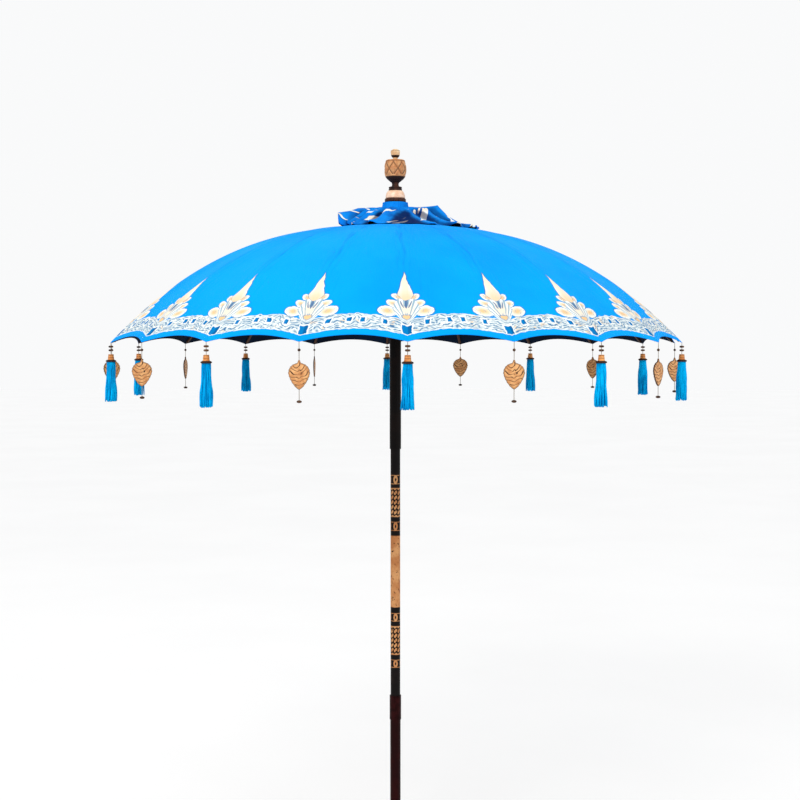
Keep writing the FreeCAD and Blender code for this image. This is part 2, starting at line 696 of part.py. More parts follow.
def make_drops():
    """Tassels under the odd-numbered ribs and carved leaves under the even-numbered ones."""
    skirts, caps, beads, cords, leaves, bores = [], [], [], [], [], []
    for index in range(int(size("rib_count"))):
        bore = hang("bore", "Part::Cylinder", index, "skirt_bottom", Radius="bore_radius",
                    Height="skirt_bottom")
        bores.append(bore)
        if index % 2 == 0:
            skirts.append(hang("skirt", "Part::Cone", index, "skirt_bottom", Radius1="skirt_radius",
                               Radius2="skirt_top_radius"))
            skirts[-1].setExpression("Height", "dims.skirt_bottom - dims.skirt_top")
            caps.append(hang("cap", "Part::Cone", index, "cap_bottom", Radius1="cap_radius",
                             Radius2="cap_top_radius"))
            caps[-1].setExpression("Height", "dims.cap_bottom - dims.cap_top")
            for place in ("upper_disk", "lower_disk"):
                beads.append(hang(place, "Part::Cylinder", index, place, Radius="disk_radius",
                                  Height="disk_thickness"))
            cords.append(hang("cord", "Part::Cylinder", index, "cap_bottom", Radius="cord_radius"))
            cords[-1].setExpression("Height", "dims.cap_bottom - dims.cord_gap")
        else:
            leaves.append(make_leaf(len(leaves), index))
            for place in ("upper_bead", "lower_bead"):
                beads.append(hang(place, "Part::Sphere", index, place, Radius=f"{place}_radius"))
            cords.append(hang("cord", "Part::Cylinder", index, "leaf_top", Radius="cord_radius"))
            cords[-1].setExpression("Height", "dims.leaf_top - dims.leaf_gap - dims.cord_gap")
            cords[-1].setExpression(".Placement.Base.z", "dims.rim_height - dims.leaf_top + dims.leaf_gap")
            cords.append(hang("cord_end", "Part::Cylinder", index, "lower_bead", Radius="cord_radius"))
            cords[-1].setExpression("Height", "dims.lower_bead - dims.leaf_bottom - dims.leaf_gap")
    group("tassel_skirts", skirts)
    bored("tassel_caps", caps, bores)
    bored("drop_beads", beads, bores)
    group("hanging_cords", cords)
    group("leaf_drops", leaves)


# ---------------------------------------------------------------- the whole parasol


def make_parasol():
    make_lower_pole()
    make_upper_pole()
    make_pole_sleeve()
    make_finial()
    make_crown("hub", hub_pivot, "pole_radius", "hub_top", "hub_bottom", -20, 20)
    make_wire("hub_wire", "hub_height")
    make_crown("runner_head", runner_pivot, "tube_radius", "head_top", "head_bottom", -6, 20)
    make_wire("runner_wire", "runner_height")
    make_runner_tube()
    make_lock_pin()
    for index in range(int(size("rib_count"))):
        make_rib(index)
        make_strut(index)
    make_canopy()
    make_topper()
    make_drops()
    document.recompute()


def node_names():
    """Every node, in the order of the file list."""
    numbers = range(1, int(size("rib_count")) + 1)
    return (
        ["lower_pole", "pole_sleeve", "upper_pole", "hub", "hub_wire"]
        + ["finial_base", "finial_collar", "finial_bulb", "finial_knob", "canopy", "canopy_topper"]
        + ["runner_tube", "runner_head", "runner_wire", "lock_pin"]
        + [f"rib_{number:02d}" for number in numbers]
        + [f"strut_{number:02d}" for number in numbers]
        + ["tassel_skirts", "tassel_caps", "leaf_drops", "drop_beads", "hanging_cords"]
    )


def check_document():
    """Stop if any object failed, which a recompute alone doesn't say."""
    for thing in document.Objects:
        if "Invalid" in thing.State or "Error" in thing.State:
            raise RuntimeError(f"{thing.Label} failed: {thing.State}")


def write_parts():
    os.makedirs("parts", exist_ok=True)
    by_label = {thing.Label: thing for thing in document.Objects}
    chosen = [by_label[name] for name in node_names()]
    for thing in chosen:
        if thing.Shape.isNull() or not thing.Shape.isValid():
            raise RuntimeError(f"{thing.Label} has no valid shape")
    for thing in chosen:
        thing.Shape.exportStep(os.path.join("parts", f"{thing.Label}.step"))


make_parasol()
check_document()
write_parts()
print("hub", [round(value, 4) for value in hub_pivot], "pin", [round(value, 4) for value in strut_pivot])
print("runner", [round(value, 4) for value in runner_pivot], "travel", round(runner_travel, 3))
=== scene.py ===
"""Looks of the garden parasol: cloth, painted bands, carved finial, hanging drops, light and camera.

Every length is in metres, in the row frame: the pole's foot is the origin and +Z is up the pole.
"""

import json
import math
import random

import bpy
import numpy as np
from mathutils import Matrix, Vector

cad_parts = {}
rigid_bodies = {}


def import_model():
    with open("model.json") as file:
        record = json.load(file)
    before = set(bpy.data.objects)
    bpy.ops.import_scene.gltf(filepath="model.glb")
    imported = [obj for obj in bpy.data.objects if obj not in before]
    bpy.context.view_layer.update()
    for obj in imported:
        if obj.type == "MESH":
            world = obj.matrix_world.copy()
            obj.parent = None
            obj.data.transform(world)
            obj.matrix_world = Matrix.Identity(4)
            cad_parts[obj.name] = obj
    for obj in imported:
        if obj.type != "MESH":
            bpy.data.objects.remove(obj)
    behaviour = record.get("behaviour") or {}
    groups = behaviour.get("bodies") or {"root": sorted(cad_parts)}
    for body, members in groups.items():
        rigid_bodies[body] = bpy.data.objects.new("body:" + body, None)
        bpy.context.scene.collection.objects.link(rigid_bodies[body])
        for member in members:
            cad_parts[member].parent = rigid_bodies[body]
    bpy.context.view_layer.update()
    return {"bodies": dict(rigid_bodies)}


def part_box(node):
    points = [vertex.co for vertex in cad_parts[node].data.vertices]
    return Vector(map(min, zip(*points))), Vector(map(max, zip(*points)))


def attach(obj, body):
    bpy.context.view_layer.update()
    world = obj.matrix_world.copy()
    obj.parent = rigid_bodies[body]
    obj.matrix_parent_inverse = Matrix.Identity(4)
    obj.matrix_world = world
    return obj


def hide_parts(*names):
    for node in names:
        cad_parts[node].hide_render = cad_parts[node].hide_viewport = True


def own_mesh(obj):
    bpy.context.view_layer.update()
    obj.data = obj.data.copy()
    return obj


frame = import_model()

# ---------------------------------------------------------------- sizes read from the frame

RIBS = sum(name.startswith("rib_") for name in frame["bodies"])
STEP = 2 * math.pi / RIBS
HALF_GORE = STEP / 2

canopy_low, canopy_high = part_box("canopy")
RIM_HEIGHT, APEX_HEIGHT = canopy_low.z, canopy_high.z
CANOPY_RADIUS = canopy_high.x
DOME_RISE = APEX_HEIGHT - RIM_HEIGHT
DOME_POWER = 2.6
CANOPY_HOLE = 0.019

CLOTH_THICKNESS = 0.0012
SCALLOP_RISE = 0.028
SAG = 0.011
BAND_EDGES = (0.12, 0.30, 0.50, 0.72, 1.0)

DROP_RADIUS = 0.998 * CANOPY_RADIUS


def rib_angle(index):
    """Angle of a rib about the pole, from +X."""
    return STEP * index - math.pi / 2


def rib_direction(index):
    angle = rib_angle(index)
    return Vector((math.cos(angle), math.sin(angle), 0))


# ---------------------------------------------------------------- mesh helpers


def add_mesh(name, vertices, faces, materials, face_slots=None, smooth=True):
    """A mesh object of the given faces."""
    mesh = bpy.data.meshes.new(name)
    mesh.from_pydata([tuple(v) for v in vertices], [], faces)
    mesh.update()
    for material in materials:
        mesh.materials.append(material)
    if face_slots is not None:
        mesh.polygons.foreach_set("material_index", face_slots)
    mesh.polygons.foreach_set("use_smooth", [smooth] * len(mesh.polygons))
    piece = bpy.data.objects.new(name, mesh)
    bpy.context.scene.collection.objects.link(piece)
    return piece


def grid_faces(rows, columns, closed=False, start=0, flip=False):
    """Quads between rows of points. closed joins the last column to the first."""
    faces = []
    for row in range(rows - 1):
        for column in range(columns if closed else columns - 1):
            after = (column + 1) % columns
            a, b = row * columns + column, row * columns + after
            face = (start + a, start + b, start + b + columns, start + a + columns)
            faces.append(face[::-1] if flip else face)
    return faces


def smooth_profile(corners, steps=6):
    """Points on a smooth line through (radius, height) corners. A third entry keeps a corner sharp."""
    points = []
    last = len(corners) - 1
    for index in range(last):
        p1, p2 = (np.array(corners[i][:2], float) for i in (index, index + 1))
        sharp1, sharp2 = (len(corners[i]) > 2 for i in (index, index + 1))
        p0 = p1 if sharp1 or index == 0 else np.array(corners[index - 1][:2], float)
        p3 = p2 if sharp2 or index + 1 == last else np.array(corners[index + 2][:2], float)
        for step in range(steps):
            t = step / steps
            points.append(0.5 * (
                2 * p1 + (p2 - p0) * t + (2 * p0 - 5 * p1 + 4 * p2 - p3) * t ** 2
                + (3 * p1 - p0 - 3 * p2 + p3) * t ** 3
            ))
    points.append(np.array(corners[last][:2], float))
    return points


def turned_piece(name, corners, material, segments=48, steps=6, place=(0, 0, 0), relief=None):
    """A turned piece about a vertical axis. relief(angle, height) is added to the radius."""
    profile = smooth_profile(corners, steps)
    vertices = []
    for radius, height in profile:
        for segment in range(segments):
            angle = 2 * math.pi * segment / segments
            out = max(0.0, radius + (relief(angle, height) if relief and radius > 0 else 0))
            vertices.append((place[0] + out * math.cos(angle), place[1] + out * math.sin(angle),
                             place[2] + height))
    faces = grid_faces(len(profile), segments, closed=True)
    bottom, top = len(vertices), len(vertices) + 1
    vertices.append((place[0], place[1], place[2] + profile[0][1]))
    vertices.append((place[0], place[1], place[2] + profile[-1][1]))
    last = (len(profile) - 1) * segments
    for segment in range(segments):
        after = (segment + 1) % segments
        faces.append((after, segment, bottom))
        faces.append((last + segment, last + after, top))
    piece = add_mesh(name, vertices, faces, [material])
    sharpen(piece)
    return piece


def sharpen(piece, angle=40):
    """Keep edges above an angle sharp, as a tool leaves them."""
    piece.data.set_sharp_from_angle(angle=math.radians(angle))


def add_tube(vertices, faces, path, radii, sides=6, twist=0.0, flutes=0.0):
    """Append a closed tube along a path to lists of vertices and faces."""
    start = len(vertices)
    for number, (point, radius) in enumerate(zip(path, radii)):
        ahead = path[min(number + 1, len(path) - 1)] - path[max(number - 1, 0)]
        ahead.normalize()
        side = ahead.cross(Vector((0, 1, 0.01))).normalized()
        other = ahead.cross(side)
        for corner in range(sides):
            angle = 2 * math.pi * corner / sides + twist * number
            out = radius * (1 + flutes * math.cos(2 * (angle - 2 * twist * number)))
            vertices.append(point + side * out * math.cos(angle) + other * out * math.sin(angle))
    faces.extend(grid_faces(len(path), sides, closed=True, start=start, flip=True))
    faces.append(tuple(range(start, start + sides)))
    end = len(vertices) - sides
    faces.append(tuple(reversed(range(end, end + sides))))


# ---------------------------------------------------------------- material helpers


class Paint:
    """A material's node tree, built from its colour back to its coordinates."""

    def __init__(self, name, roughness=0.5):
        self.material = bpy.data.materials.new(name)
        self.material.use_nodes = True
        self.tree = self.material.node_tree
        self.shader = self.tree.nodes["Principled BSDF"]
        self.shader.inputs["Roughness"].default_value = roughness

    def node(self, kind, **settings):
        made = self.tree.nodes.new(kind)
        for name, value in settings.items():
            setattr(made, name, value)
        return made

    def feed(self, socket, value):
        """Link an output to a socket, or set the socket to a number or colour."""
        if isinstance(value, bpy.types.NodeSocket):
            self.tree.links.new(value, socket)
        elif hasattr(value, "__len__") and len(value) == 3 and socket.type == "RGBA":
            socket.default_value = (*value, 1)
        else:
            socket.default_value = value

    def math(self, operation, first, second=0.0, third=0.0, clamp=False):
        made = self.node("ShaderNodeMath", operation=operation, use_clamp=clamp)
        for socket, value in zip(made.inputs, (first, second, third)):
            self.feed(socket, value)
        return made.outputs[0]

    def times(self, *values, **options):
        return self.math("MULTIPLY", *values, **options)

    def plus(self, *values, **options):
        return self.math("ADD", *values, **options)

    def minus(self, *values, **options):
        return self.math("SUBTRACT", *values, **options)

    def mix(self, share, first, second, blend="MIX"):
        made = self.node("ShaderNodeMix", data_type="RGBA", blend_type=blend)
        self.feed(made.inputs["Factor"], share)
        self.feed(made.inputs[6], first)
        self.feed(made.inputs[7], second)
        return made.outputs[2]

    def fade(self, value, low, high, to_low=0.0, to_high=1.0):
        """Goes smoothly from to_low, where value is low, to to_high, where it is high."""
        made = self.node("ShaderNodeMapRange", interpolation_type="SMOOTHSTEP", clamp=True)
        for socket, number in zip(made.inputs, (value, low, high, to_low, to_high)):
            self.feed(socket, number)
        return made.outputs[0]

    def noise(self, vector, scale, detail=3.0, stretch=None, rough=0.55):
        made = self.node("ShaderNodeTexNoise")
        made.inputs["Scale"].default_value = scale
        made.inputs["Detail"].default_value = detail
        made.inputs["Roughness"].default_value = rough
        self.feed(made.inputs["Vector"], self.moved(vector, scale=stretch) if stretch else vector)
        return made.outputs[0]

    def moved(self, vector, centre=(0, 0, 0), turn=0.0, scale=(1, 1, 1), kind="POINT"):
        made = self.node("ShaderNodeMapping", vector_type=kind)
        made.inputs["Location"].default_value = centre
        made.inputs["Rotation"].default_value = (0, 0, turn)
        made.inputs["Scale"].default_value = scale
        self.feed(made.inputs["Vector"], vector)
        return made.outputs[0]

    def split(self, vector):
        made = self.node("ShaderNodeSeparateXYZ")
        self.feed(made.inputs[0], vector)
        return made.outputs

    def join(self, first, second, third=0.0):
        made = self.node("ShaderNodeCombineXYZ")
        for socket, value in zip(made.inputs, (first, second, third)):
            self.feed(socket, value)
        return made.outputs[0]

    def here(self):
        """Coordinates in the row frame at rest."""
        return self.node("ShaderNodeTexCoord").outputs["Object"]

    def cloth(self):
        """Coordinates on the cloth, in metres: across the rib, and up from the hem."""
        return self.node("ShaderNodeUVMap", uv_map="cloth").outputs[0]

    def finish(self, colour, roughness=None, bumps=(), metallic=0.0, gloss=0.5):
        """Set the shader. bumps are (height, strength, distance), from the finest."""
        self.feed(self.shader.inputs["Base Color"], colour)
        if roughness is not None:
            self.feed(self.shader.inputs["Roughness"], roughness)
        self.feed(self.shader.inputs["Metallic"], metallic)
        self.shader.inputs["Sheen Roughness"].default_value = 0.4
        self.shader.inputs["Specular IOR Level"].default_value = gloss
        self.shader.inputs["Coat Roughness"].default_value = 0.15
        normal = None
        for height, strength, distance in bumps:
            bump = self.node("ShaderNodeBump")
            bump.inputs["Strength"].default_value = strength
            bump.inputs["Distance"].default_value = distance
            self.feed(bump.inputs["Height"], height)
            if normal is not None:
                self.feed(bump.inputs["Normal"], normal)
            normal = bump.outputs[0]
        if normal is not None:
            self.feed(self.shader.inputs["Normal"], normal)
        return self.material


def linear(red, green, blue):
    """A colour given as 0 to 255 in sRGB."""
    def one(value):
        value /= 255
        return value / 12.92 if value <= 0.04045 else ((value + 0.055) / 1.055) ** 2.4
    return one(red), one(green), one(blue)


# ---------------------------------------------------------------- cloth paint

BLUE = linear(0, 158, 248)
DEEP_BLUE = linear(0, 146, 240)
SHADE_BLUE = linear(0, 104, 190)
SQUARE_BLUE = linear(0, 116, 182)
WHITE = linear(228, 232, 228)
CREAM = linear(234, 220, 200)
GOLD_TINT = linear(230, 190, 140)
GREY_BLUE = linear(122, 160, 184)
LINE_BLUE = linear(34, 88, 140)

HEM_PLAIN = 0.023
BAND_TOP = 0.088
FLOWER_TIP = 0.322
SQUARES_A_GORE = 5
SQUARE_STEP = STEP * CANOPY_RADIUS / SQUARES_A_GORE

# petals of the painted flower: centre across and up from the hem, half sizes, turn
PETALS = (
    ((0.054, 0.110), (0.029, 0.0215), -0.12),
    ((0.037, 0.147), (0.021, 0.0155), 0.30),
    ((0.024, 0.180), (0.018, 0.0145), 0.55),
)
HEART = (0.0, 0.130), (0.037, 0.054)
ROSETTE = (0.0, 0.098), (0.011, 0.0085)
SPEAR_FOOT = 0.172
SPEAR_HALF_WIDTH = 0.0245


def weave(paint, vector, threads=420.0):
    """Height of a plain weave."""
    across, along, _ = paint.split(vector)
    turns = 2 * math.pi * threads
    warp = paint.math("SINE", paint.times(across, turns))
    weft = paint.math("SINE", paint.times(along, turns))
    return paint.times(warp, weft)


def distance_from(paint, place, centre, half, turn=0.0):
    """Distance from the middle of an ellipse, where 1 is on the ellipse."""
    local = paint.moved(place, (*centre, 0), turn, (*half, 1), kind="TEXTURE")
    away = paint.node("ShaderNodeVectorMath", operation="LENGTH")
    paint.feed(away.inputs[0], local)
    return away.outputs["Value"]


def paint_petal(paint, colour, place, petal):
    """Lay one petal over the colours under it: a soft blue outline, a white rim and a pale gold heart."""
    distance = distance_from(paint, place, *petal)
    strokes = paint.noise(place, 150.0, detail=2)
    heart = paint.mix(paint.fade(distance, 0.15, 0.7), GOLD_TINT, CREAM)
    inside = paint.mix(paint.fade(distance, 0.60, 0.88), heart, WHITE)
    inside = paint.mix(paint.fade(strokes, 0.56, 0.64, 0.0, 0.7), inside, GREY_BLUE)
    halo = paint.fade(distance, 1.22, 1.04, 0.0, 0.75)
    lined = paint.mix(halo, colour, LINE_BLUE)
    return paint.mix(paint.fade(distance, 1.06, 0.98), lined, inside)


def paint_flower(paint, colour, across, up):
    """The flower on each rib: petals to both sides, a veined heart and a spear."""
    place = paint.join(across, up)
    for petal in PETALS:
        colour = paint_petal(paint, colour, place, petal)
    heart = distance_from(paint, place, *HEART)
    filled = paint.mix(paint.fade(heart, 0.2, 0.9), CREAM, WHITE)
    colour = paint.mix(paint.fade(heart, 1.0, 0.92), colour, filled)
    spread = paint.math("ARCTAN2", across, paint.minus(up, HEART[0][1] - 0.060))
    rays = paint.math("SINE", paint.times(spread, 31.0))
    reach = paint.times(paint.fade(heart, 1.15, 0.95), paint.fade(heart, 0.15, 0.4))
    veins = paint.times(reach, paint.fade(rays, 0.15, 0.6))
    colour = paint.mix(paint.times(veins, 0.85), colour, GREY_BLUE)
    stroke = distance_from(paint, place, (0.0, 0.158), (0.0042, 0.022))
    side_stroke = distance_from(paint, place, (0.0120, 0.151), (0.0024, 0.016), -0.35)
    strokes = paint.math("MAXIMUM", paint.fade(stroke, 1.05, 0.9), paint.fade(side_stroke, 1.1, 0.9))
    colour = paint.mix(paint.times(strokes, 0.85), colour, LINE_BLUE)
    rosette = distance_from(paint, place, *ROSETTE)
    colour = paint.mix(paint.fade(rosette, 1.5, 1.2, 0.0, 0.6), colour, LINE_BLUE)
    colour = paint.mix(paint.fade(rosette, 1.05, 0.95), colour, GOLD_TINT)
    height = paint.math(
        "DIVIDE", paint.minus(up, SPEAR_FOOT), FLOWER_TIP - SPEAR_FOOT, clamp=True
    )
    rise = paint.math("POWER", paint.times(height, 7.0, clamp=True), 0.5)
    taper = paint.math("POWER", paint.minus(1.0, height), 1.25)
    width = paint.times(paint.times(rise, taper), SPEAR_HALF_WIDTH * 1.22)
    inside = paint.minus(width, across)
    above = paint.fade(up, SPEAR_FOOT, SPEAR_FOOT + 0.003)
    spear = paint.mix(paint.fade(across, 0.006, 0.018), CREAM, WHITE)
    spear = paint.mix(paint.fade(height, 0.42, 0.05, 0.0, 0.6), spear, GOLD_TINT)
    above = paint.times(above, paint.fade(up, FLOWER_TIP, FLOWER_TIP - 0.004))
    outline = paint.times(above, paint.fade(inside, -0.0042, -0.0008))
    colour = paint.mix(paint.times(outline, 0.7), colour, LINE_BLUE)
    fill = paint.times(above, paint.fade(inside, -0.0008, 0.0012))
    return paint.mix(fill, colour, spear)


def paint_band(paint, colour, signed, up, space, wobble):
    """The painted band above the hem: pale strokes, fine scroll lines and a row of blue squares."""
    uneven = paint.minus(paint.noise(space, 22.0, detail=2), 0.5)
    edge = paint.plus(up, paint.times(wobble, 0.010))
    top = paint.plus(edge, paint.times(uneven, 0.022))
    inside = paint.times(paint.fade(edge, HEM_PLAIN, HEM_PLAIN + 0.0025),
                        paint.fade(top, BAND_TOP, BAND_TOP - 0.0025))
    halo = paint.times(paint.fade(edge, HEM_PLAIN - 0.004, HEM_PLAIN),
                      paint.fade(top, BAND_TOP + 0.004, BAND_TOP))
    colour = paint.mix(paint.times(halo, 0.5), colour, SQUARE_BLUE)
    along = paint.times(signed, 2 * math.pi / SQUARE_STEP)
    swing = paint.times(paint.math("COSINE", along), 0.0035)
    bent = paint.plus(edge, paint.plus(swing, paint.times(uneven, 0.055)))
    lines = paint.math("SINE", paint.times(bent, 2 * math.pi / 0.0105))
    strokes = paint.noise(space, 75.0, detail=3)
    tinted = paint.mix(paint.fade(strokes, 0.40, 0.56), WHITE, linear(188, 202, 208))
    tinted = paint.mix(paint.fade(paint.noise(space, 34.0), 0.57, 0.66, 0.0, 0.7), tinted, GOLD_TINT)
    drawn = paint.times(paint.fade(lines, -0.25, 0.55), paint.fade(strokes, 0.34, 0.54, 0.45, 1.0))
    lined = paint.mix(paint.times(drawn, 0.95), tinted, GREY_BLUE)
    thin = paint.times(paint.fade(lines, 0.55, 0.90), paint.fade(strokes, 0.40, 0.50))
    lined = paint.mix(paint.times(thin, 0.75), lined, LINE_BLUE)
    shifted = paint.plus(signed, paint.times(uneven, 0.022))
    cell = paint.minus(paint.math(
        "FLOORED_MODULO", paint.plus(shifted, SQUARE_STEP / 2), SQUARE_STEP), SQUARE_STEP / 2)
    sideways = paint.math("ABSOLUTE", paint.plus(cell, paint.times(wobble, 0.006)))
    middle = paint.math("COMPARE", shifted, 0.0, SQUARE_STEP / 2)
    size = paint.plus(0.0066, paint.times(middle, 0.0064))
    height = paint.minus(0.063, paint.times(middle, 0.020))
    upwards = paint.times(paint.math("ABSOLUTE", paint.minus(edge, height)), 0.72)
    reach = paint.minus(paint.math("MAXIMUM", sideways, upwards), size)
    framed = paint.mix(paint.fade(reach, 0.0050, 0.0030), lined, WHITE)
    square = paint.mix(paint.fade(cell, 0.001, 0.005), SQUARE_BLUE, linear(2, 92, 152))
    squares = paint.mix(paint.fade(reach, 0.0012, -0.0008), framed, square)
    rails = paint.math("MAXIMUM", paint.fade(edge, HEM_PLAIN + 0.005, HEM_PLAIN + 0.0030),
                       paint.fade(top, BAND_TOP - 0.0045, BAND_TOP - 0.0025))
    return paint.mix(inside, colour, paint.mix(rails, squares, WHITE))


def make_canopy_paint():
    paint = Paint("canopy_paint")
    vector = paint.cloth()
    signed, up, _ = paint.split(vector)
    across = paint.math("ABSOLUTE", signed)
    space = paint.here()
    clouds = paint.noise(space, 2.2, detail=4)
    streaks = paint.noise(vector, 9.0, stretch=(6.0, 0.7, 1), detail=4)
    colour = paint.mix(paint.fade(clouds, 0.35, 0.7), BLUE, DEEP_BLUE)
    # Painted shade: soft dark streaks in the creases of the cloth near each rib.
    near_rib = paint.fade(across, 0.030, 0.002)
    crease_shade = paint.times(near_rib, paint.fade(streaks, 0.45, 0.62))
    colour = paint.mix(paint.times(crease_shade, 0.35), colour, SHADE_BLUE)
    seam = paint.fade(across, 0.0060, 0.0010)
    colour = paint.mix(paint.times(seam, 0.10), colour, SHADE_BLUE)
    wobble = paint.minus(paint.noise(space, 62.0, detail=2), 0.5)
    bend = paint.minus(paint.noise(space, 17.0, detail=1), 0.5)
    shaky = paint.math("ABSOLUTE", paint.plus(signed, paint.math(
        "ADD", paint.times(wobble, 0.004), paint.times(bend, 0.011))))
    raised = paint.plus(up, paint.times(wobble, 0.008))
    colour = paint_band(paint, colour, signed, up, space, wobble)
    colour = paint_flower(paint, colour, shaky, raised)
    dashes = paint.math("SINE", paint.times(up, 2 * math.pi / 0.006))
    hem_stitch = paint.math("COMPARE", up, 0.009, 0.0005)
    stitches = paint.times(hem_stitch, paint.fade(dashes, -0.4, 0.3))
    colour = paint.mix(paint.times(hem_stitch, 0.35), colour, SHADE_BLUE)
    hem = paint.fade(up, 0.0030, 0.0010)
    colour = paint.mix(paint.times(hem, 0.5), colour, SHADE_BLUE)
    puckers = paint.times(streaks, paint.fade(across, 0.11, 0.0, 0.25, 1.0))
    return paint.finish(
        colour, roughness=paint.fade(clouds, 0.2, 0.8, 0.66, 0.8), gloss=0.03,
        bumps=((weave(paint, vector), 0.16, 0.0004), (stitches, -0.5, 0.0006), (puckers, 0.5, 0.014)),
    )


def make_underside_shade_paint():
    paint = Paint("canopy_underside_painted_shade")
    vector = paint.cloth()
    mottle = paint.noise(paint.here(), 6.0, detail=4)
    # Painted shade: the underside of the blue cloth is painted dark navy, as the shade under the canopy and
    # the ruffle.
    colour = paint.mix(paint.fade(mottle, 0.3, 0.7), linear(5, 22, 44), linear(3, 12, 28))
    return paint.finish(colour, roughness=0.85, gloss=0.05, bumps=((weave(paint, vector), 0.16, 0.0004),))


# ---------------------------------------------------------------- canopy


def dome_height(radius):
    return RIM_HEIGHT + DOME_RISE * (1 - (radius / CANOPY_RADIUS) ** DOME_POWER)


def cloth_point(radius, offset):
    """A point of the outer face, a part of half a gore away from its rib. The cloth sags between ribs."""
    share = min(1.0, abs(offset))
    sag = SAG * (radius / CANOPY_RADIUS) ** 1.5 * (1 - (1 - share) ** 2)
    slope = math.atan(DOME_RISE * DOME_POWER / CANOPY_RADIUS * (radius / CANOPY_RADIUS) ** (DOME_POWER - 1))
    inward = radius - sag * math.sin(slope)
    angle = offset * HALF_GORE
    height = dome_height(radius) - sag * math.cos(slope)
    return Vector((inward * math.cos(angle), inward * math.sin(angle), height))


def cloth_normal(radius, offset):
    small = 1e-3
    side = 0.04
    along = cloth_point(radius + small, offset) - cloth_point(max(radius - small, 1e-4), offset)
    across = cloth_point_free(radius, offset + side) - cloth_point_free(radius, offset - side)
    return along.cross(across).normalized()


def cloth_point_free(radius, offset):
    """As cloth_point, but past half a gore it goes on into the next gore."""
    if abs(offset) <= 1:
        return cloth_point(radius, offset)
    sign = 1 if offset > 0 else -1
    point = cloth_point(radius, sign * (abs(offset) - 2))
    turn = sign * STEP
    return Vector((point.x * math.cos(turn) - point.y * math.sin(turn),
                   point.x * math.sin(turn) + point.y * math.cos(turn), point.z))


def hem_radius(offset):
    """Radius where the cloth ends. The hem rises between the ribs."""
    rise = SCALLOP_RISE * (1 - (1 - abs(offset)) ** 2)
    return CANOPY_RADIUS * (1 - rise / DOME_RISE) ** (1 / DOME_POWER)


def slope_length(low, high, steps=12):
    """Length of the dome's slope between two radii."""
    points = [low + (high - low) * step / steps for step in range(steps + 1)]
    return sum(math.hypot(b - a, dome_height(b) - dome_height(a)) for a, b in zip(points, points[1:]))


def make_cloth_panel(index, ring, paints):
    """One panel of the canopy: the stretch of a rib's cloth between two radii, half a gore to each side."""
    low = BAND_EDGES[ring - 1] * CANOPY_RADIUS if ring else CANOPY_HOLE
    columns = 17
    rows = 12 if ring < len(BAND_EDGES) - 1 else 20
    turn = rib_angle(index)
    outer, inner, normals, places = [], [], [], []
    for row in range(rows):
        for column in range(columns):
            offset = 2 * column / (columns - 1) - 1
            end = hem_radius(offset) if ring == len(BAND_EDGES) - 1 else BAND_EDGES[ring] * CANOPY_RADIUS
            radius = low + (end - low) * row / (rows - 1)
            point, normal = cloth_point(radius, offset), cloth_normal(radius, offset)
            outer.append(point)
            inner.append(point - normal * CLOTH_THICKNESS)
            normals.append(normal)
            places.append((radius * offset * HALF_GORE, slope_length(radius, hem_radius(offset))))
    count = len(outer)
    faces = grid_faces(rows, columns, flip=True)
    faces += grid_faces(rows, columns, start=count)
    slots = [0] * (len(faces) // 2) + [1] * (len(faces) // 2)
    border = (
        list(range(columns)) + [row * columns + columns - 1 for row in range(1, rows)]
        + [count - 1 - column for column in range(1, columns)]
        + [row * columns for row in range(rows - 2, 0, -1)]
    )
    for here, after in zip(border, border[1:] + border[:1]):
        faces.append((here, after, after + count, here + count))
        slots.append(0)
    cos, sin = math.cos(turn), math.sin(turn)
    turned = [Vector((p.x * cos - p.y * sin, p.x * sin + p.y * cos, p.z)) for p in outer + inner]
    facing = [Vector((p.x * cos - p.y * sin, p.x * sin + p.y * cos, p.z)) for p in normals]
    name = f"canopy_gore_{index + 1:02d}_{ring + 1}"
    piece = add_mesh(name, turned, faces, paints, slots)
    mesh = piece.data
    layer = mesh.uv_layers.new(name="cloth")
    loop_normals = []
    sheets = 2 * (rows - 1) * (columns - 1)
    for face in mesh.polygons:
        for loop in face.loop_indices:
            vertex = mesh.loops[loop].vertex_index
            layer.data[loop].uv = places[vertex % count]
            if face.index < sheets:
                side = 1 if face.index < sheets // 2 else -1
                loop_normals.append(facing[vertex % count] * side)
            else:
                loop_normals.append(face.normal.copy())
    mesh.normals_split_custom_set(loop_normals)
    return piece


def make_canopy():
    paints = [make_canopy_paint(), make_underside_shade_paint()]
    for index in range(RIBS):
        for ring in range(len(BAND_EDGES)):
            piece = make_cloth_panel(index, ring, paints)
            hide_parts("canopy")
            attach(piece, f"rib_{index + 1:02d}")
            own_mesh(piece)


# ---------------------------------------------------------------- ruffle round the top of the pole

RUFFLE_COLUMNS = 288
# the ruffle is cut as a round of cloth with a hole for the pole, and drawn in round it
# angle about the pole in degrees, then the crest's radius and height, the edge's, and how far the edge hangs
RUFFLE_SHAPE = (
    (0, 0.150, 2.287, 0.300, 2.214, 0.006),
    (25, 0.136, 2.276, 0.262, 2.212, 0.005),
    (60, 0.118, 2.265, 0.222, 2.212, 0.005),
    (100, 0.118, 2.264, 0.215, 2.212, 0.005),
    (150, 0.124, 2.268, 0.206, 2.216, 0.010),
    (172, 0.122, 2.272, 0.192, 2.246, 0.032),
    (186, 0.124, 2.272, 0.196, 2.254, 0.040),
    (202, 0.120, 2.266, 0.200, 2.230, 0.018),
    (225, 0.118, 2.262, 0.206, 2.212, 0.005),
    (265, 0.113, 2.257, 0.216, 2.211, 0.005),
    (310, 0.122, 2.262, 0.226, 2.212, 0.005),
    (338, 0.140, 2.277, 0.268, 2.211, 0.005),
    (360, 0.150, 2.287, 0.300, 2.214, 0.006),
)


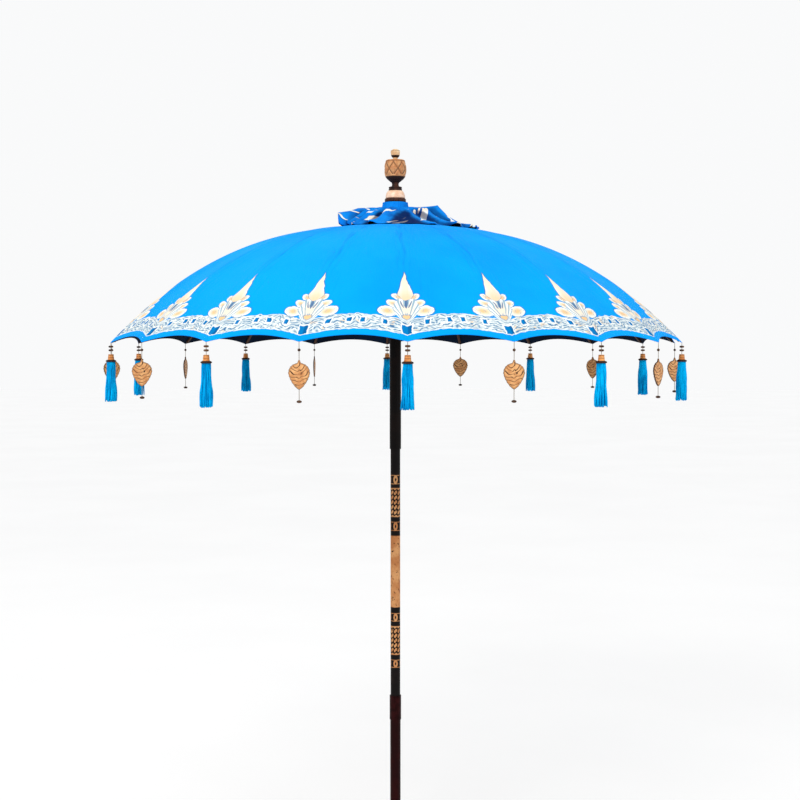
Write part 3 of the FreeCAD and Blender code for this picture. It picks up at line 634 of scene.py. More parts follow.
def ruffle_shape(angle):
    """Crest and edge of the ruffle at an angle, smoothly between the places given."""
    degrees = math.degrees(angle) % 360
    for before, after in zip(RUFFLE_SHAPE, RUFFLE_SHAPE[1:]):
        if before[0] <= degrees <= after[0]:
            share = (degrees - before[0]) / (after[0] - before[0])
            share = share * share * (3 - 2 * share)
            return [a + (b - a) * share for a, b in zip(before[1:], after[1:])]


def folds(angle, waves):
    """Uneven folds, from -1 to 1, as the sum of sharpened waves of (count, size, start)."""
    total = sum(size * (1 - 2 * abs(math.sin(count * angle / 2 + start))) for count, size, start in waves)
    return total / sum(size for _, size, _ in waves)


DEEP_FOLDS = ((8, 1.0, 0.4), (13, 0.8, 1.9), (21, 0.45, 0.2))
FINE_FOLDS = ((31, 1.0, 0.0), (47, 0.6, 1.1))


def lean(angle, share):
    """Where a fold that starts at the neck at some angle has got to, a share of the way out."""
    return angle + 0.30 * share * math.sin(3 * angle + 0.8)


def ruffle_line(angle):
    """Points of the ruffle at one angle, from its neck out to its edge."""
    crest_radius, crest_height, edge_radius, edge_height, hang = ruffle_shape(angle)
    fine = folds(angle, FINE_FOLDS)
    points = []
    for step in range(6):
        share = step / 5
        points.append((0.0440 + 0.0015 * fine + 0.0035 * share ** 2, 2.2955 - 0.019 * share))
    start_radius, start_height = points[-1]
    for step in range(1, 13):
        share = step / 12
        deep = folds(lean(angle, 0.4 * share), DEEP_FOLDS)
        radius = start_radius + (crest_radius + 0.018 * deep - start_radius) * share
        lift = (crest_height + 0.008 * deep - start_height) * share ** 1.3
        puff = 0.004 * (0.6 * fine + deep) * math.sin(math.pi * share)
        points.append((radius, start_height + lift + puff))
    crest_r, crest_z = points[-1]
    for step in range(1, 19):
        share = step / 18
        deep = folds(lean(angle, 0.4 + 0.6 * share), DEEP_FOLDS)
        steep = 1.3 + 1.0 * max(0.0, math.cos(angle)) ** 3 + 0.5 * deep
        tuck = 0.020 * max(0.0, -deep)
        radius = crest_r + (edge_radius + 0.022 * deep - crest_r) * share - tuck * math.sin(math.pi * share)
        fall_share = (1 - share) ** steep
        height = edge_height + 0.014 * max(deep, -0.5) * share + (crest_z - edge_height) * fall_share
        radius += 0.003 * fine * share
        clear = dome_height(min(radius, 1)) + 0.0035
        points.append((radius, max(height, clear)))
    last_radius, last_height = points[-1]
    for step in range(1, 5):
        share = step / 4
        radius = last_radius + 0.0016 * share - 0.004 * share ** 2 * (hang / 0.04)
        points.append((radius, max(last_height - hang * share, dome_height(last_radius) + 0.0022)))
    return points


def make_ruffle_paint():
    """Blue cloth with white painted strokes and painted shade. The mesh's groove layer says where the folds
    lie in shade, and the navy painted shade follows it.
    """
    paint = Paint("ruffle_paint")
    vector = paint.cloth()
    round_way, out_way, _ = paint.split(vector)
    space = paint.here()
    clouds = paint.noise(space, 9.0, detail=4)
    groove_and_fold_shade = paint.node("ShaderNodeAttribute", attribute_name="groove_and_fold_shade").outputs["Fac"]
    colour = paint.mix(paint.fade(clouds, 0.35, 0.68), linear(4, 134, 226), linear(0, 100, 190))
    slant = paint.plus(round_way, paint.times(out_way, 1.1))
    streaked = paint.join(paint.times(slant, 30.0), paint.times(out_way, 13.0))
    strokes = paint.noise(streaked, 1.0, detail=1.5, rough=0.4)
    outer = paint.fade(out_way, 0.050, 0.060)
    painted = paint.times(paint.fade(strokes, 0.580, 0.605), outer)
    halo = paint.times(paint.fade(strokes, 0.555, 0.585), outer)
    colour = paint.mix(paint.times(halo, 0.6), colour, linear(0, 70, 130))
    pale = paint.mix(paint.fade(paint.noise(space, 30.0), 0.45, 0.6), WHITE, CREAM)
    # Painted shade: navy where the groove layer says the folds lie in shade, broken up by the clouds; the
    # white strokes are dimmed in it too.
    uneven = paint.plus(groove_and_fold_shade, paint.times(paint.minus(clouds, 0.5), 0.9))
    shade = paint.fade(uneven, 0.05, 0.85, 0.0, 0.94)
    colour = paint.mix(shade, colour, linear(0, 14, 66))
    colour = paint.mix(paint.times(painted, paint.fade(shade, 0.9, 0.5, 0.25, 1.0)), colour, pale)
    threads = paint.noise(vector, 160.0, detail=2, stretch=(1.0, 0.25, 1))
    return paint.finish(
        colour, roughness=paint.fade(clouds, 0.2, 0.8, 0.6, 0.76), gloss=0.05,
        bumps=((weave(paint, vector), 0.16, 0.0004), (threads, 0.3, 0.003)),
    )


def ruffle_shade(row, column, rows):
    """How much painted shade a point of the ruffle gets, from 0 to 1: deep in a fold and on one flank of it,
    less towards +X, none by the neck.
    """
    angle = 2 * math.pi * column / RUFFLE_COLUMNS
    share = min(1.0, max(0.0, (row - 6) / (rows - 10)))
    before, after = (folds(lean(angle, share) + side, DEEP_FOLDS) for side in (-0.05, 0.05))
    deep = folds(lean(angle, share), DEEP_FOLDS)
    # Painted shade also falls on one flank of each fold.
    away = 0.9 * max(0.0, after - before)
    shade_less_on_plus_x = 1 - 0.45 * max(0.0, math.cos(angle)) ** 2
    return shade_less_on_plus_x * min(1.0, max(0.0, -1.1 * deep) + away) * min(1.0, max(0.0, (share - 0.12) / 0.35))


def make_ruffle():
    """The gathered ruffle, as an outer face and an inner face joined at its edges; the inner face is painted
    dark navy as shade.
    """
    lines = [ruffle_line(2 * math.pi * column / RUFFLE_COLUMNS) for column in range(RUFFLE_COLUMNS)]
    rows = len(lines[0])
    outer, places = [], []
    for row in range(rows):
        for column, line in enumerate(lines):
            angle = 2 * math.pi * column / RUFFLE_COLUMNS
            radius, height = line[row]
            outer.append(Vector((radius * math.cos(angle), radius * math.sin(angle), height)))
            gone = sum(math.dist(a, b) for a, b in zip(line[:row], line[1:row + 1]))
            places.append((angle * 0.16, gone))
    faces = grid_faces(rows, RUFFLE_COLUMNS, closed=True, flip=True)
    probe = add_mesh("ruffle_probe", outer, faces, [])
    normals = [vertex.normal.copy() for vertex in probe.data.vertices]
    bpy.data.objects.remove(probe)
    inner = [point - normal * CLOTH_THICKNESS for point, normal in zip(outer, normals)]
    count = len(outer)
    faces += grid_faces(rows, RUFFLE_COLUMNS, closed=True, start=count)
    slots = [0] * (len(faces) // 2) + [1] * (len(faces) // 2)
    for first in (0, count - RUFFLE_COLUMNS):
        for column in range(RUFFLE_COLUMNS):
            a, b = first + column, first + (column + 1) % RUFFLE_COLUMNS
            face = (a, b, b + count, a + count)
            faces.append(face[::-1] if first else face)
            slots.append(0)
    paints = [make_ruffle_paint(), make_underside_shade_paint()]
    ruffle = add_mesh("canopy_ruffle", outer + inner, faces, paints, slots)
    layer = ruffle.data.uv_layers.new(name="cloth")
    for loop in ruffle.data.loops:
        across, along = places[loop.vertex_index % count]
        layer.data[loop.index].uv = (across, along)
    # The groove layer holds the painted shade of the folds, the same on both faces.
    shade = ruffle.data.attributes.new("groove_and_fold_shade", "FLOAT", "POINT")
    one_face = [ruffle_shade(row, column, rows) for row in range(rows) for column in range(RUFFLE_COLUMNS)]
    shade.data.foreach_set("value", one_face * 2)
    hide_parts("canopy_topper")
    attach(ruffle, "root")


# ---------------------------------------------------------------- wood, metal and lacquer

GILT = linear(178, 116, 70)
PALE_GILT = linear(202, 148, 98)
OLD_GILT = linear(116, 68, 36)
DARK_WOOD = linear(30, 14, 9)
BLACK_LACQUER = linear(10, 7, 7)
MAROON = linear(26, 0, 1)


def make_gilt_paint(name="gilt_wood", light=PALE_GILT, middle=GILT, dark=DARK_WOOD):
    """Gold paint over dark wood. The mesh's groove layer says where the paint is dark: in the carving, and in
    the dark bands given with it.
    """
    paint = Paint(name)
    space = paint.here()
    groove_and_fold_shade = paint.node("ShaderNodeAttribute", attribute_name="groove_and_fold_shade").outputs["Fac"]
    worn = paint.noise(space, 70.0, detail=4)
    fine = paint.noise(space, 420.0, detail=3)
    colour = paint.mix(paint.fade(worn, 0.35, 0.65), middle, light)
    colour = paint.mix(paint.fade(worn, 0.30, 0.22), colour, OLD_GILT)
    depth = paint.plus(groove_and_fold_shade, paint.times(paint.minus(worn, 0.5), 0.5))
    colour = paint.mix(paint.fade(depth, 0.35, 0.75), colour, dark)
    roughness = paint.fade(depth, 0.3, 0.8, 0.42, 0.7)
    return paint.finish(colour, roughness=roughness, metallic=0.1, gloss=0.25,
                        bumps=((fine, 0.25, 0.0008), (worn, 0.3, 0.002)))


def make_dark_wood_paint(name="dark_wood", base=DARK_WOOD, other=linear(56, 30, 20), upright=True):
    """Turned or sawn wood with its grain along Z, or along the rib that it belongs to."""
    paint = Paint(name)
    space = paint.here()
    if upright:
        vector = space
        stretch = (1.0, 1.0, 0.06)
    else:
        x, y, z = paint.split(space)
        radius = paint.math("SQRT", paint.plus(paint.times(x, x), paint.times(y, y)))
        angle = paint.math("ARCTAN2", y, x)
        turn = paint.math("FLOORED_MODULO", paint.plus(angle, math.pi / 2 + HALF_GORE), STEP)
        lateral = paint.times(paint.minus(turn, HALF_GORE), radius)
        vector = paint.join(radius, lateral, z)
        stretch = (0.05, 1.0, 0.5)
    grain = paint.noise(vector, 520.0, detail=4, stretch=stretch)
    bands = paint.noise(vector, 90.0, detail=3, stretch=stretch)
    colour = paint.mix(paint.fade(bands, 0.35, 0.65), base, other)
    colour = paint.mix(paint.times(paint.fade(grain, 0.5, 0.7), 0.5), colour, base)
    return paint.finish(colour, roughness=paint.fade(grain, 0.3, 0.7, 0.42, 0.6), gloss=0.15,
                        bumps=((grain, 0.25, 0.0006),))


def make_metal_paint(name, base, other, roughness):
    paint = Paint(name)
    space = paint.here()
    tarnish = paint.noise(space, 55.0, detail=5)
    scratches = paint.noise(space, 700.0, detail=2, stretch=(1, 1, 0.15))
    colour = paint.mix(paint.fade(tarnish, 0.4, 0.65), base, other)
    spread = paint.plus(paint.fade(tarnish, 0.3, 0.7, roughness, roughness + 0.2),
                        paint.fade(scratches, 0.4, 0.7, 0, 0.08))
    return paint.finish(colour, roughness=spread, metallic=0.9, bumps=((scratches, 0.12, 0.0003),))


def make_lacquer_paint(name, base, other):
    """Lacquer on a turned pole: faint long grain, dust and rubbed places."""
    paint = Paint(name)
    space = paint.here()
    grain = paint.noise(space, 260.0, detail=3, stretch=(1, 1, 0.04))
    rubbed = paint.noise(space, 26.0, detail=5)
    colour = paint.mix(paint.fade(rubbed, 0.42, 0.68), base, other)
    colour = paint.mix(paint.times(paint.fade(grain, 0.55, 0.75), 0.4), colour, other)
    return paint.finish(colour, roughness=paint.fade(rubbed, 0.35, 0.7, 0.3, 0.5), gloss=0.07,
                        bumps=((grain, 0.12, 0.0006),))


# panels of the pole, by height: plain gilt, flowers, and squares with a dark middle
PLAIN_PANELS = ((0.861, 1.116),)
FLOWER_PANELS = ((1.184, 1.287), (0.691, 0.794))
SQUARE_PANELS = ((1.301, 1.333), (1.134, 1.166), (0.811, 0.840), (0.645, 0.673))
FLOWERS_ROUND = 4


def within(paint, height, low, high, soft=0.0012):
    return paint.times(paint.fade(height, low - soft, low + soft),
                      paint.fade(height, high + soft, high - soft))


def make_pole_paint():
    """The upper pole: black lacquer, with gilt panels painted on it."""
    paint = Paint("pole_paint")
    space = paint.here()
    x, y, z = paint.split(space)
    angle = paint.math("ARCTAN2", y, x)
    rubbed = paint.noise(space, 30.0, detail=5)
    fine = paint.noise(space, 300.0, detail=3, stretch=(1, 1, 0.3))
    shaky = paint.plus(z, paint.times(paint.minus(rubbed, 0.5), 0.004))
    gilt = 0.0
    for low, high in PLAIN_PANELS:
        gilt = paint.math("MAXIMUM", gilt, within(paint, shaky, low, high))
    turned_round = paint.times(angle, FLOWERS_ROUND)
    for low, high in FLOWER_PANELS:
        middle, reach = (low + high) / 2, (high - low) / 2
        level = paint.math("DIVIDE", paint.minus(shaky, middle), reach)
        along = paint.times(level, 3 * math.pi)
        petals = paint.times(paint.math("COSINE", turned_round), paint.math("COSINE", along))
        leaves = paint.times(paint.math("SINE", paint.times(turned_round, 2.0)),
                            paint.math("SINE", paint.times(along, 2.0)))
        shape = paint.plus(paint.math("ABSOLUTE", petals), paint.times(leaves, 0.45))
        shape = paint.plus(shape, paint.times(paint.minus(fine, 0.5), 0.5))
        rails = paint.fade(paint.math("ABSOLUTE", level), 0.90, 0.95)
        drawn = paint.math("MAXIMUM", paint.fade(shape, 0.30, 0.42), rails)
        gilt = paint.math("MAXIMUM", gilt, paint.times(within(paint, shaky, low, high), drawn))
    for low, high in SQUARE_PANELS:
        middle, reach = (low + high) / 2, (high - low) / 2
        level = paint.math("DIVIDE", paint.minus(shaky, middle), reach)
        side = paint.times(paint.math("SINE", paint.times(turned_round, 0.5)), 1.25)
        away = paint.math("SQRT", paint.plus(paint.times(level, level),
                                             paint.times(side, side)))
        ring = paint.times(paint.fade(away, 0.32, 0.42), paint.fade(away, 1.05, 0.95))
        edge = paint.fade(paint.math("ABSOLUTE", level), 0.82, 0.90)
        drawn = paint.math("MAXIMUM", ring, edge)
        gilt = paint.math("MAXIMUM", gilt, paint.times(within(paint, shaky, low, high), drawn))
    chips = paint.fade(paint.noise(space, 120.0, detail=3), 0.33, 0.39)
    gilt = paint.times(gilt, chips)
    gold = paint.mix(paint.fade(rubbed, 0.35, 0.65), GILT, PALE_GILT)
    gold = paint.mix(paint.times(paint.fade(fine, 0.55, 0.72), 0.6), gold, OLD_GILT)
    black = paint.mix(paint.fade(rubbed, 0.45, 0.7), BLACK_LACQUER, linear(24, 15, 13))
    colour = paint.mix(gilt, black, gold)
    roughness = paint.plus(paint.times(gilt, 0.12), paint.fade(rubbed, 0.35, 0.7, 0.3, 0.45))
    return paint.finish(colour, roughness=roughness, gloss=0.09,
                        bumps=((fine, 0.15, 0.0005), (gilt, 0.5, 0.0006)))


def make_yarn_paint():
    paint = Paint("tassel_yarn")
    space = paint.here()
    strand = paint.noise(space, 600.0, detail=2, stretch=(1, 1, 0.35))
    tone = paint.noise(space, 45.0, detail=3, stretch=(1, 1, 0.3))
    colour = paint.mix(paint.fade(tone, 0.35, 0.65), linear(0, 176, 238), linear(0, 138, 204))
    colour = paint.mix(paint.times(paint.fade(strand, 0.5, 0.68), 0.5), colour, linear(0, 88, 140))
    return paint.finish(colour, roughness=0.85, gloss=0.03, bumps=((strand, 0.5, 0.0012),))


def make_thread_paint():
    paint = Paint("thread")
    twist = paint.noise(paint.here(), 900.0, detail=2, stretch=(1, 1, 0.4))
    colour = paint.mix(paint.fade(twist, 0.4, 0.6), linear(150, 140, 122), linear(98, 88, 76))
    return paint.finish(colour, roughness=0.8, bumps=((twist, 0.4, 0.0005),))


# ---------------------------------------------------------------- finial


def set_groove(piece, depth):
    """Store how dark the paint is at each vertex, from 0 to 1: the depth of the carving, and any dark bands.
    depth takes the vertex's place.
    """
    layer = piece.data.attributes.new("groove_and_fold_shade", "FLOAT", "POINT")
    layer.data.foreach_set("value", [float(depth(vertex.co)) for vertex in piece.data.vertices])


BULB_LATTICE = 7
BULB_ROW = 0.0235
BULB_LOW, BULB_HIGH = 2.3885, 2.4405


def lattice_groove(angle, height):
    """Depth of the crossed grooves that cut the bulb into diamonds, from 0 to 1."""
    rise = 2 * math.pi * (height - BULB_LOW) / (2 * BULB_ROW)
    first = abs(math.sin((BULB_LATTICE * angle + rise) / 2))
    second = abs(math.sin((BULB_LATTICE * angle - rise) / 2))
    over = min(1.0, max(0.0, (height - BULB_LOW) / 0.004))
    under = min(1.0, max(0.0, (BULB_HIGH - height) / 0.004))
    return over * under * max(0.0, 1 - min(first, second) / 0.62)


def ride_root(piece, node):
    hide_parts(node)
    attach(piece, "root")
    return piece


def make_finial():
    gilt = make_gilt_paint(dark=linear(40, 22, 14))
    pale = make_gilt_paint("finial_pale", linear(228, 196, 154), linear(204, 160, 114), linear(40, 22, 14))
    dark = make_dark_wood_paint("finial_dark", linear(34, 18, 14), linear(70, 38, 26))
    cream = make_gilt_paint("finial_cream", linear(240, 206, 178), linear(226, 182, 148), OLD_GILT)
    base = turned_piece("finial_ring", [
        (0.0168, 2.2966, True), (0.0345, 2.2966, True), (0.0372, 2.2986), (0.0375, 2.3030), (0.0370, 2.3075),
        (0.0345, 2.3098, True), (0.0168, 2.3098),
    ], dark)
    ride_root(base, "finial_base")
    bell = turned_piece("finial_bell", [
        (0.0150, 2.3099, True), (0.0336, 2.3099, True), (0.0344, 2.3120), (0.0342, 2.3165), (0.0333, 2.3225),
        (0.0316, 2.3280), (0.0290, 2.3325), (0.0264, 2.3352), (0.0250, 2.3368, True), (0.0120, 2.3370),
    ], cream, segments=64)
    set_groove(bell, lambda co: 0.7 * math.exp(-((co.z - 2.3112) / 0.0012) ** 2)
               + 0.25 * max(0.0, (co.z - 2.3320) / 0.005))
    ride_root(bell, "finial_base")
    collar = turned_piece("finial_neck", [
        (0.0100, 2.3371, True), (0.0222, 2.3371, True), (0.0235, 2.3390), (0.0235, 2.3425), (0.0219, 2.3445),
        (0.0235, 2.3465), (0.0231, 2.3495), (0.0212, 2.3508), (0.0150, 2.3517), (0.0128, 2.3545),
        (0.0118, 2.3585), (0.0125, 2.3630), (0.0140, 2.3658), (0.0152, 2.3669, True), (0.0100, 2.3669),
    ], dark)
    ride_root(collar, "finial_collar")
    bulb = turned_piece("finial_bulb_carved", [
        (0.0080, 2.3671, True), (0.0140, 2.3671, True), (0.0175, 2.3682), (0.0205, 2.3712), (0.0268, 2.3762),
        (0.0325, 2.3825), (0.0358, 2.3890), (0.0380, 2.3980), (0.0390, 2.4090), (0.0388, 2.4180),
        (0.0377, 2.4270), (0.0360, 2.4345), (0.0347, 2.4385), (0.0340, 2.4418), (0.0318, 2.4446),
        (0.0270, 2.4458, True), (0.0100, 2.4459),
    ], gilt, segments=216, steps=8, relief=lambda angle, height: -0.0026 * lattice_groove(angle, height))
    # The bulb is also painted darker towards its bottom, below z 2.390.
    set_groove(bulb, lambda co: max(
        0.70 * lattice_groove(math.atan2(co.y, co.x), co.z), min(1.0, max(0.0, (2.3900 - co.z) / 0.007)),
        0.8 * math.exp(-((co.z - 2.4402) / 0.0012) ** 2)
    ))
    ride_root(bulb, "finial_bulb")
    knob = turned_piece("finial_knob_turned", [
        (0.0060, 2.4461, True), (0.0100, 2.4461, True), (0.0104, 2.4475), (0.0088, 2.4495), (0.0082, 2.4515),
        (0.0090, 2.4530), (0.0125, 2.4560), (0.0148, 2.4610), (0.0160, 2.4670), (0.0165, 2.4725),
        (0.0163, 2.4765), (0.0150, 2.4782, True), (0.0138, 2.4788), (0.0105, 2.4815), (0.0060, 2.4833),
        (0.0, 2.4838),
    ], pale, segments=64)
    # The knob is painted darker low on its cup, from z 2.453 up to z 2.465.
    set_groove(knob, lambda co: max(min(1.0, max(0.0, (2.4650 - co.z) / 0.006)) * (co.z > 2.4530),
                                    0.8 * math.exp(-((co.z - 2.4775) / 0.0012) ** 2)))
    ride_root(knob, "finial_knob")


# ---------------------------------------------------------------- drops under the hem

LEAF_TURNS = (0, 50, 25, -50, 0, 86, 84, 35, 4, -3)
STRANDS = ((11, 0.0040, 0.0065), (19, 0.0080, 0.0125), (27, 0.0112, 0.0180))
SKIRT_TOP, SKIRT_BOTTOM = 0.0620, 0.1950


THREAD_RADIUS = 0.00095
THREAD_START = 0.001
TASSEL_THREAD_END = 0.0378
TASSEL_DISKS = (0.0165, 0.0285)
LEAF_MIDDLE = 0.0905
LEAF_TOP_THREAD_END = 0.0505
LEAF_LOW_THREAD = (0.1372, 0.1715)


def drop_foot(index):
    """Where a drop hangs from the hem."""
    return rib_direction(index) * DROP_RADIUS + Vector((0, 0, RIM_HEIGHT))


def fall(piece):
    """Hang a drop from the root body, with a mesh of its own, hanging straight down."""
    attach(piece, "root")
    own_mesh(piece)


def make_thread(name, index, top, bottom, paint, with_pieces, far_end):
    """A hanging thread between two depths below the hem."""
    foot = drop_foot(index)
    path = [foot - Vector((0, 0, top + (bottom - top) * step / 8)) for step in range(9)]
    vertices, faces = [], []
    add_tube(vertices, faces, path, [THREAD_RADIUS] * len(path), sides=10)
    piece = add_mesh(name, vertices, faces, [paint])
    sharpen(piece, 60)
    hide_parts("hanging_cords")
    fall(piece)
    return piece


def make_skirt(index, paint, chance):
    """The yarn of a tassel: three rings of strands, each one wavy and of its own length."""
    foot = drop_foot(index)
    vertices, faces = [], []
    sway = Vector((chance.uniform(-1, 1), chance.uniform(-1, 1), 0)) * 0.0022
    ripple = chance.uniform(0, 2 * math.pi)
    for count, near, far in STRANDS:
        for strand in range(count):
            angle = 2 * math.pi * (strand + chance.uniform(-0.25, 0.25)) / count
            end = SKIRT_BOTTOM - chance.uniform(0.0, 0.007)
            drift, wave = chance.uniform(-0.22, 0.22), chance.uniform(0, 2 * math.pi)
            path, radii = [], []
            for step in range(10):
                share = step / 9
                way = angle + drift * share + 0.07 * math.sin(5.5 * share + wave)
                out = near + (far - near) * share ** 0.8 + 0.0006 * math.sin(9 * share + wave)
                out += 0.0011 * math.sin(7.5 * share + ripple + 2 * angle) * min(1.0, 3 * share)
                depth = SKIRT_TOP + (end - SKIRT_TOP) * share
                path.append(foot + Vector((out * math.cos(way), out * math.sin(way), -depth))
                            + sway * share ** 2)
                radii.append(0.0021 * (1 if share < 0.95 else 0.75))
            add_tube(vertices, faces, path, radii, sides=6, twist=0.5, flutes=0.12)
    piece = add_mesh(f"tassel_skirt_{index + 1:02d}", vertices, faces, [paint])
    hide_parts("tassel_skirts")
    fall(piece)
    return piece


def make_tassel(index, paints, chance):
    yarn, cap_paint, bead_paint, thread = paints
    foot = drop_foot(index)
    label = f"{index + 1:02d}"
    make_skirt(index, yarn, chance)
    cap = turned_piece(f"tassel_cap_{label}", [
        (0.0013, -0.0633, True), (0.0148, -0.0633, True), (0.0168, -0.0620), (0.0168, -0.0592),
        (0.0140, -0.0574), (0.0112, -0.0560), (0.0100, -0.0530), (0.0096, -0.0480), (0.0090, -0.0430),
        (0.0086, -0.0412), (0.0092, -0.0400), (0.0080, -0.0386), (0.0060, -0.0381, True), (0.0013, -0.0381),
    ], cap_paint, segments=32, place=foot)
    set_groove(cap, lambda co: max(min(1.0, max(0.0, (foot.z - 0.0555 - co.z) / 0.0015)),
                                   0.9 * math.exp(-((co.z - foot.z + 0.0412) / 0.0010) ** 2),
                                   0.8 * math.exp(-((co.z - foot.z + 0.0485) / 0.0009) ** 2)))
    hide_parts("tassel_caps")
    fall(cap)
    disks = []
    for number, underside in enumerate(TASSEL_DISKS, start=1):
        disk = turned_piece(f"tassel_bead_{label}_{number}", [
            (0.0013, -underside, True), (0.0048, -underside), (0.0072, -underside + 0.0013),
            (0.0080, -underside + 0.0033), (0.0072, -underside + 0.0052), (0.0048, -underside + 0.0065),
            (0.0013, -underside + 0.0065),
        ], bead_paint, segments=28, place=foot)
        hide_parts("drop_beads")
        fall(disk)
        disks.append(disk)
    make_thread(f"tassel_thread_{label}", index, THREAD_START, TASSEL_THREAD_END, thread,
                [cap, *disks], "fitting")


def leaf_outline(angle):
    """Half size of a leaf in a direction from its middle. 0 is to the side and pi/2 is up."""
    across, up = math.cos(angle), math.sin(angle)
    wide, high, low = 0.0308, 0.0290, 0.0470
    if up >= 0:
        power = 2.15
        share = abs(across / wide) ** power + abs(up / high) ** power
        tip = 0.0105 * math.exp(-((angle - math.pi / 2) / 0.11) ** 2)
    else:
        power = 1.42
        share = abs(across / wide) ** power + abs(up / low) ** power
        tip = 0.0
    scallops = 1 + 0.016 * math.cos(20 * angle) * min(1.0, abs(across) * 1.6)
    return share ** (-1 / power) * scallops + tip


def leaf_groove(share, angle):
    """Depth of a leaf's carving, from 0 to 1: arcs round its top, a cut rim and a dark edge."""
    size = leaf_outline(angle) * share
    across, up = size * math.cos(angle), size * math.sin(angle)
    from_top = math.hypot(across + 0.006, up - 0.026)
    arcs = (0.5 + 0.5 * math.cos(2 * math.pi * from_top / 0.0098 + 1.2 * math.sin(5 * angle))) ** 2
    rim = math.exp(-((share - 0.92) / 0.035) ** 2)
    edge = min(1.0, max(0.0, (share - 0.96) / 0.02))
    return min(1.0, 0.72 * arcs * (share < 0.88) + 0.8 * rim + edge)


def make_leaf(number, index, paint):
    """A carved leaf: two faces with the carving cut in, joined round the rim."""
    foot = drop_foot(index)
    middle = LEAF_MIDDLE
    facing_angle = math.radians(LEAF_TURNS[number])
    along = Vector((math.cos(facing_angle), math.sin(facing_angle), 0))
    out = Vector((math.sin(facing_angle), -math.cos(facing_angle), 0))
    rounds, rings = 120, 20
    vertices, depths, faces = [], [], []
    for side in (1, -1):
        start = len(vertices)
        vertices.append(foot + out * side * 0.0020 + Vector((0, 0, -middle)))
        depths.append(0.2)
        for ring in range(1, rings + 1):
            share = ring / rings
            for step in range(rounds):
                angle = 2 * math.pi * step / rounds - math.pi
                size = leaf_outline(angle) * share
                depth = leaf_groove(share, angle)
                thick = 0.0026 - 0.0005 * share ** 3 - 0.0007 * min(depth, 1.0 - share ** 12)
                vertices.append(foot + along * size * math.cos(angle) + out * side * thick
                                + Vector((0, 0, size * math.sin(angle) - middle)))
                depths.append(depth)
        for step in range(rounds):
            after = (step + 1) % rounds
            face = (start, start + 1 + step, start + 1 + after)
            faces.append(face if side > 0 else face[::-1])
        faces.extend(grid_faces(rings, rounds, closed=True, start=start + 1, flip=side > 0))
    half = len(vertices) // 2
    last = 1 + (rings - 1) * rounds
    for step in range(rounds):
        after = (step + 1) % rounds
        faces.append((last + step, last + half + step, last + half + after, last + after))
    piece = add_mesh(f"leaf_{index + 1:02d}", vertices, faces, [paint])
    sharpen(piece, 50)
    layer = piece.data.attributes.new("groove_and_fold_shade", "FLOAT", "POINT")
    layer.data.foreach_set("value", depths)
    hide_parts("leaf_drops")
    fall(piece)
    return piece


def make_leaf_drop(number, index, paints):
    leaf_paint, bead_paint, thread = paints
    foot = drop_foot(index)
    label = f"{index + 1:02d}"
    make_leaf(number, index, leaf_paint)
    beads = []
    for name, centre, radius, high in (("upper", 0.024, 0.0045, 0.0042), ("lower", 0.172, 0.0076, 0.0040)):
        bead = turned_piece(f"leaf_bead_{label}_{name}", [
            (0.0013, -centre - high, True), (0.45 * radius, -centre - 0.93 * high),
            (0.86 * radius, -centre - 0.55 * high), (radius, -centre), (0.86 * radius, -centre + 0.55 * high),
            (0.45 * radius, -centre + 0.93 * high), (0.0013, -centre + high),
        ], bead_paint, segments=28, place=foot)
        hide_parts("drop_beads")
        fall(bead)
        beads.append(bead)
    make_thread(f"leaf_thread_{label}_upper", index, THREAD_START, LEAF_TOP_THREAD_END, thread,
                [beads[0]], "fitting")
    make_thread(f"leaf_thread_{label}_lower", index, *LEAF_LOW_THREAD, thread, [beads[1]], "fitting")


def make_drops():
    chance = random.Random(11)
    yarn, thread = make_yarn_paint(), make_thread_paint()
    cap = make_gilt_paint("cap_wood", linear(222, 156, 92), linear(186, 112, 56), linear(48, 24, 14))
    leaf = make_gilt_paint("leaf_gilt", linear(220, 166, 110), linear(190, 130, 80), linear(66, 34, 16))
    bead = make_dark_wood_paint("bead_wood", linear(44, 28, 22), linear(92, 64, 46))
    for index in range(RIBS):
        if index % 2 == 0:
            make_tassel(index, (yarn, cap, bead, thread), chance)
        else:
            make_leaf_drop(index // 2, index, (leaf, bead, thread))


# ---------------------------------------------------------------- CAD nodes that keep their shape


def repaint(node, paint):
    """Give a CAD node a finished material in place of its plain one."""
    piece = bpy.data.objects[node]
    if not piece.material_slots:
        piece.data.materials.append(paint)
    for place in piece.material_slots:
        place.material = paint


def paint_frame():
    wood = make_dark_wood_paint("rib_wood", linear(34, 20, 13), linear(62, 38, 25), upright=False)
    crown = make_dark_wood_paint("crown_wood", linear(26, 15, 11), linear(50, 31, 22))
    wire = make_metal_paint("wire_metal", linear(150, 140, 126), linear(112, 98, 84), 0.3)
    repaint("lower_pole", make_lacquer_paint("foot_lacquer", MAROON, linear(38, 2, 3)))
    repaint("upper_pole", make_pole_paint())
    repaint("pole_sleeve", make_metal_paint("sleeve_metal", linear(44, 8, 9), linear(28, 4, 5), 0.42))
    repaint("runner_tube", make_lacquer_paint("runner_lacquer", BLACK_LACQUER, linear(22, 14, 12)))
    repaint("hub", crown)
    repaint("runner_head", crown)
    repaint("lock_pin", make_metal_paint("lock_metal", linear(176, 150, 96), linear(128, 100, 60), 0.25))
    for node in ("hub_wire", "runner_wire"):
        repaint(node, wire)
    for index in range(RIBS):
        repaint(f"rib_{index + 1:02d}", wood)
        repaint(f"strut_{index + 1:02d}", wood)


# ---------------------------------------------------------------- camera, light and floor

CAMERA_DISTANCE = 4.95
CAMERA_HEIGHT = 1.7765
CAMERA_SIDE = math.radians(2.0)
CAMERA_DROP = math.radians(2.06)
CAMERA_AIM = math.radians(0.19)
LENS = 62.82


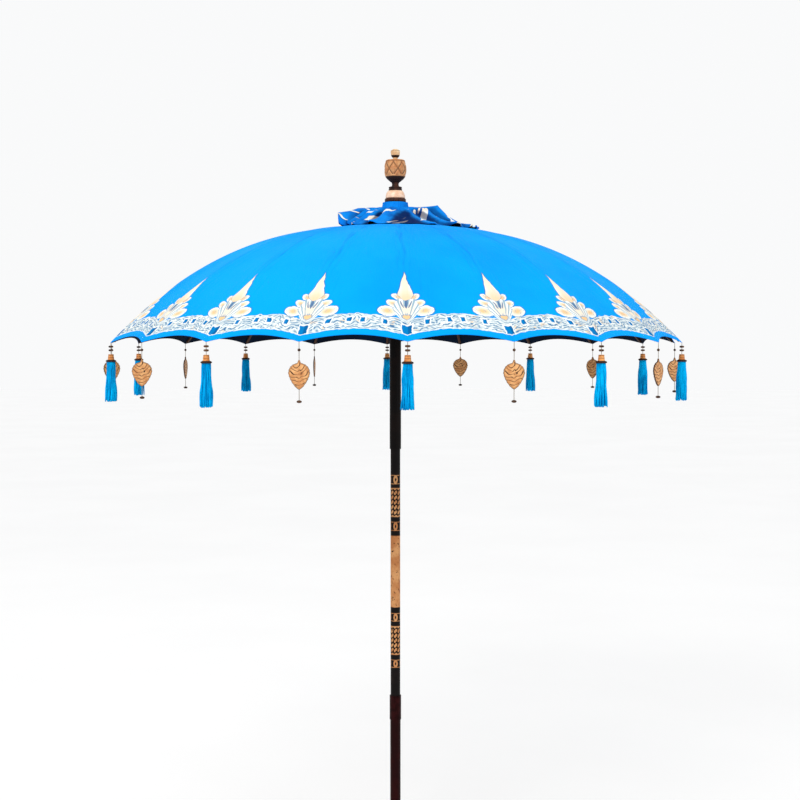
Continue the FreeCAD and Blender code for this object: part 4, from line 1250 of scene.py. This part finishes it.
def make_camera():
    data = bpy.data.cameras.new("camera")
    data.sensor_width = 36
    data.lens = LENS
    camera = bpy.data.objects.new("camera", data)
    bpy.context.scene.collection.objects.link(camera)
    camera.location = (-CAMERA_DISTANCE * math.sin(CAMERA_SIDE), -CAMERA_DISTANCE * math.cos(CAMERA_SIDE),
                       CAMERA_HEIGHT)
    camera.rotation_euler = (math.pi / 2 - CAMERA_DROP, 0, -CAMERA_SIDE - CAMERA_AIM)
    bpy.context.scene.camera = camera


def make_light(name, place, target, size, power, colour):
    data = bpy.data.lights.new(name, "AREA")
    data.shape = "DISK"
    data.size = size
    data.energy = power
    data.color = colour
    light = bpy.data.objects.new(name, data)
    bpy.context.scene.collection.objects.link(light)
    light.location = place
    light.rotation_euler = (Vector(target) - Vector(place)).to_track_quat("-Z", "Y").to_euler()


def make_studio():
    scene = bpy.context.scene
    scene.view_settings.view_transform = "Standard"
    scene.view_settings.look = "None"
    world = bpy.data.worlds.new("studio")
    scene.world = world
    world.use_nodes = True
    background = world.node_tree.nodes["Background"]
    background.inputs["Color"].default_value = (0.95, 0.955, 0.96, 1)
    background.inputs["Strength"].default_value = 1.0
    make_light("key", (-2.4, -4.2, 5.0), (0, 0, 1.9), 2.6, 145, (1.0, 0.97, 0.93))
    make_light("fill", (3.6, -3.4, 3.0), (0, 0, 1.6), 3.0, 40, (0.95, 0.97, 1.0))
    paint = Paint("floor_paint", roughness=0.9)
    tone = paint.noise(paint.here(), 0.6, detail=3)
    colour = paint.mix(paint.fade(tone, 0.3, 0.7), (0.62, 0.62, 0.62), (0.64, 0.64, 0.64))
    paint.finish(colour)
    paint.shader.inputs["Specular IOR Level"].default_value = 0.1
    paint.shader.inputs["Emission Color"].default_value = (1, 1, 1, 1)
    paint.shader.inputs["Emission Strength"].default_value = 0.34
    sides, reach = 96, 60.0
    vertices = [(reach * math.cos(2 * math.pi * k / sides), reach * math.sin(2 * math.pi * k / sides), -0.001)
                for k in range(sides)]
    add_mesh("floor", vertices, [tuple(range(sides))], [paint.material], smooth=False)


make_camera()
make_studio()
make_canopy()
make_ruffle()
make_finial()
make_drops()
paint_frame()
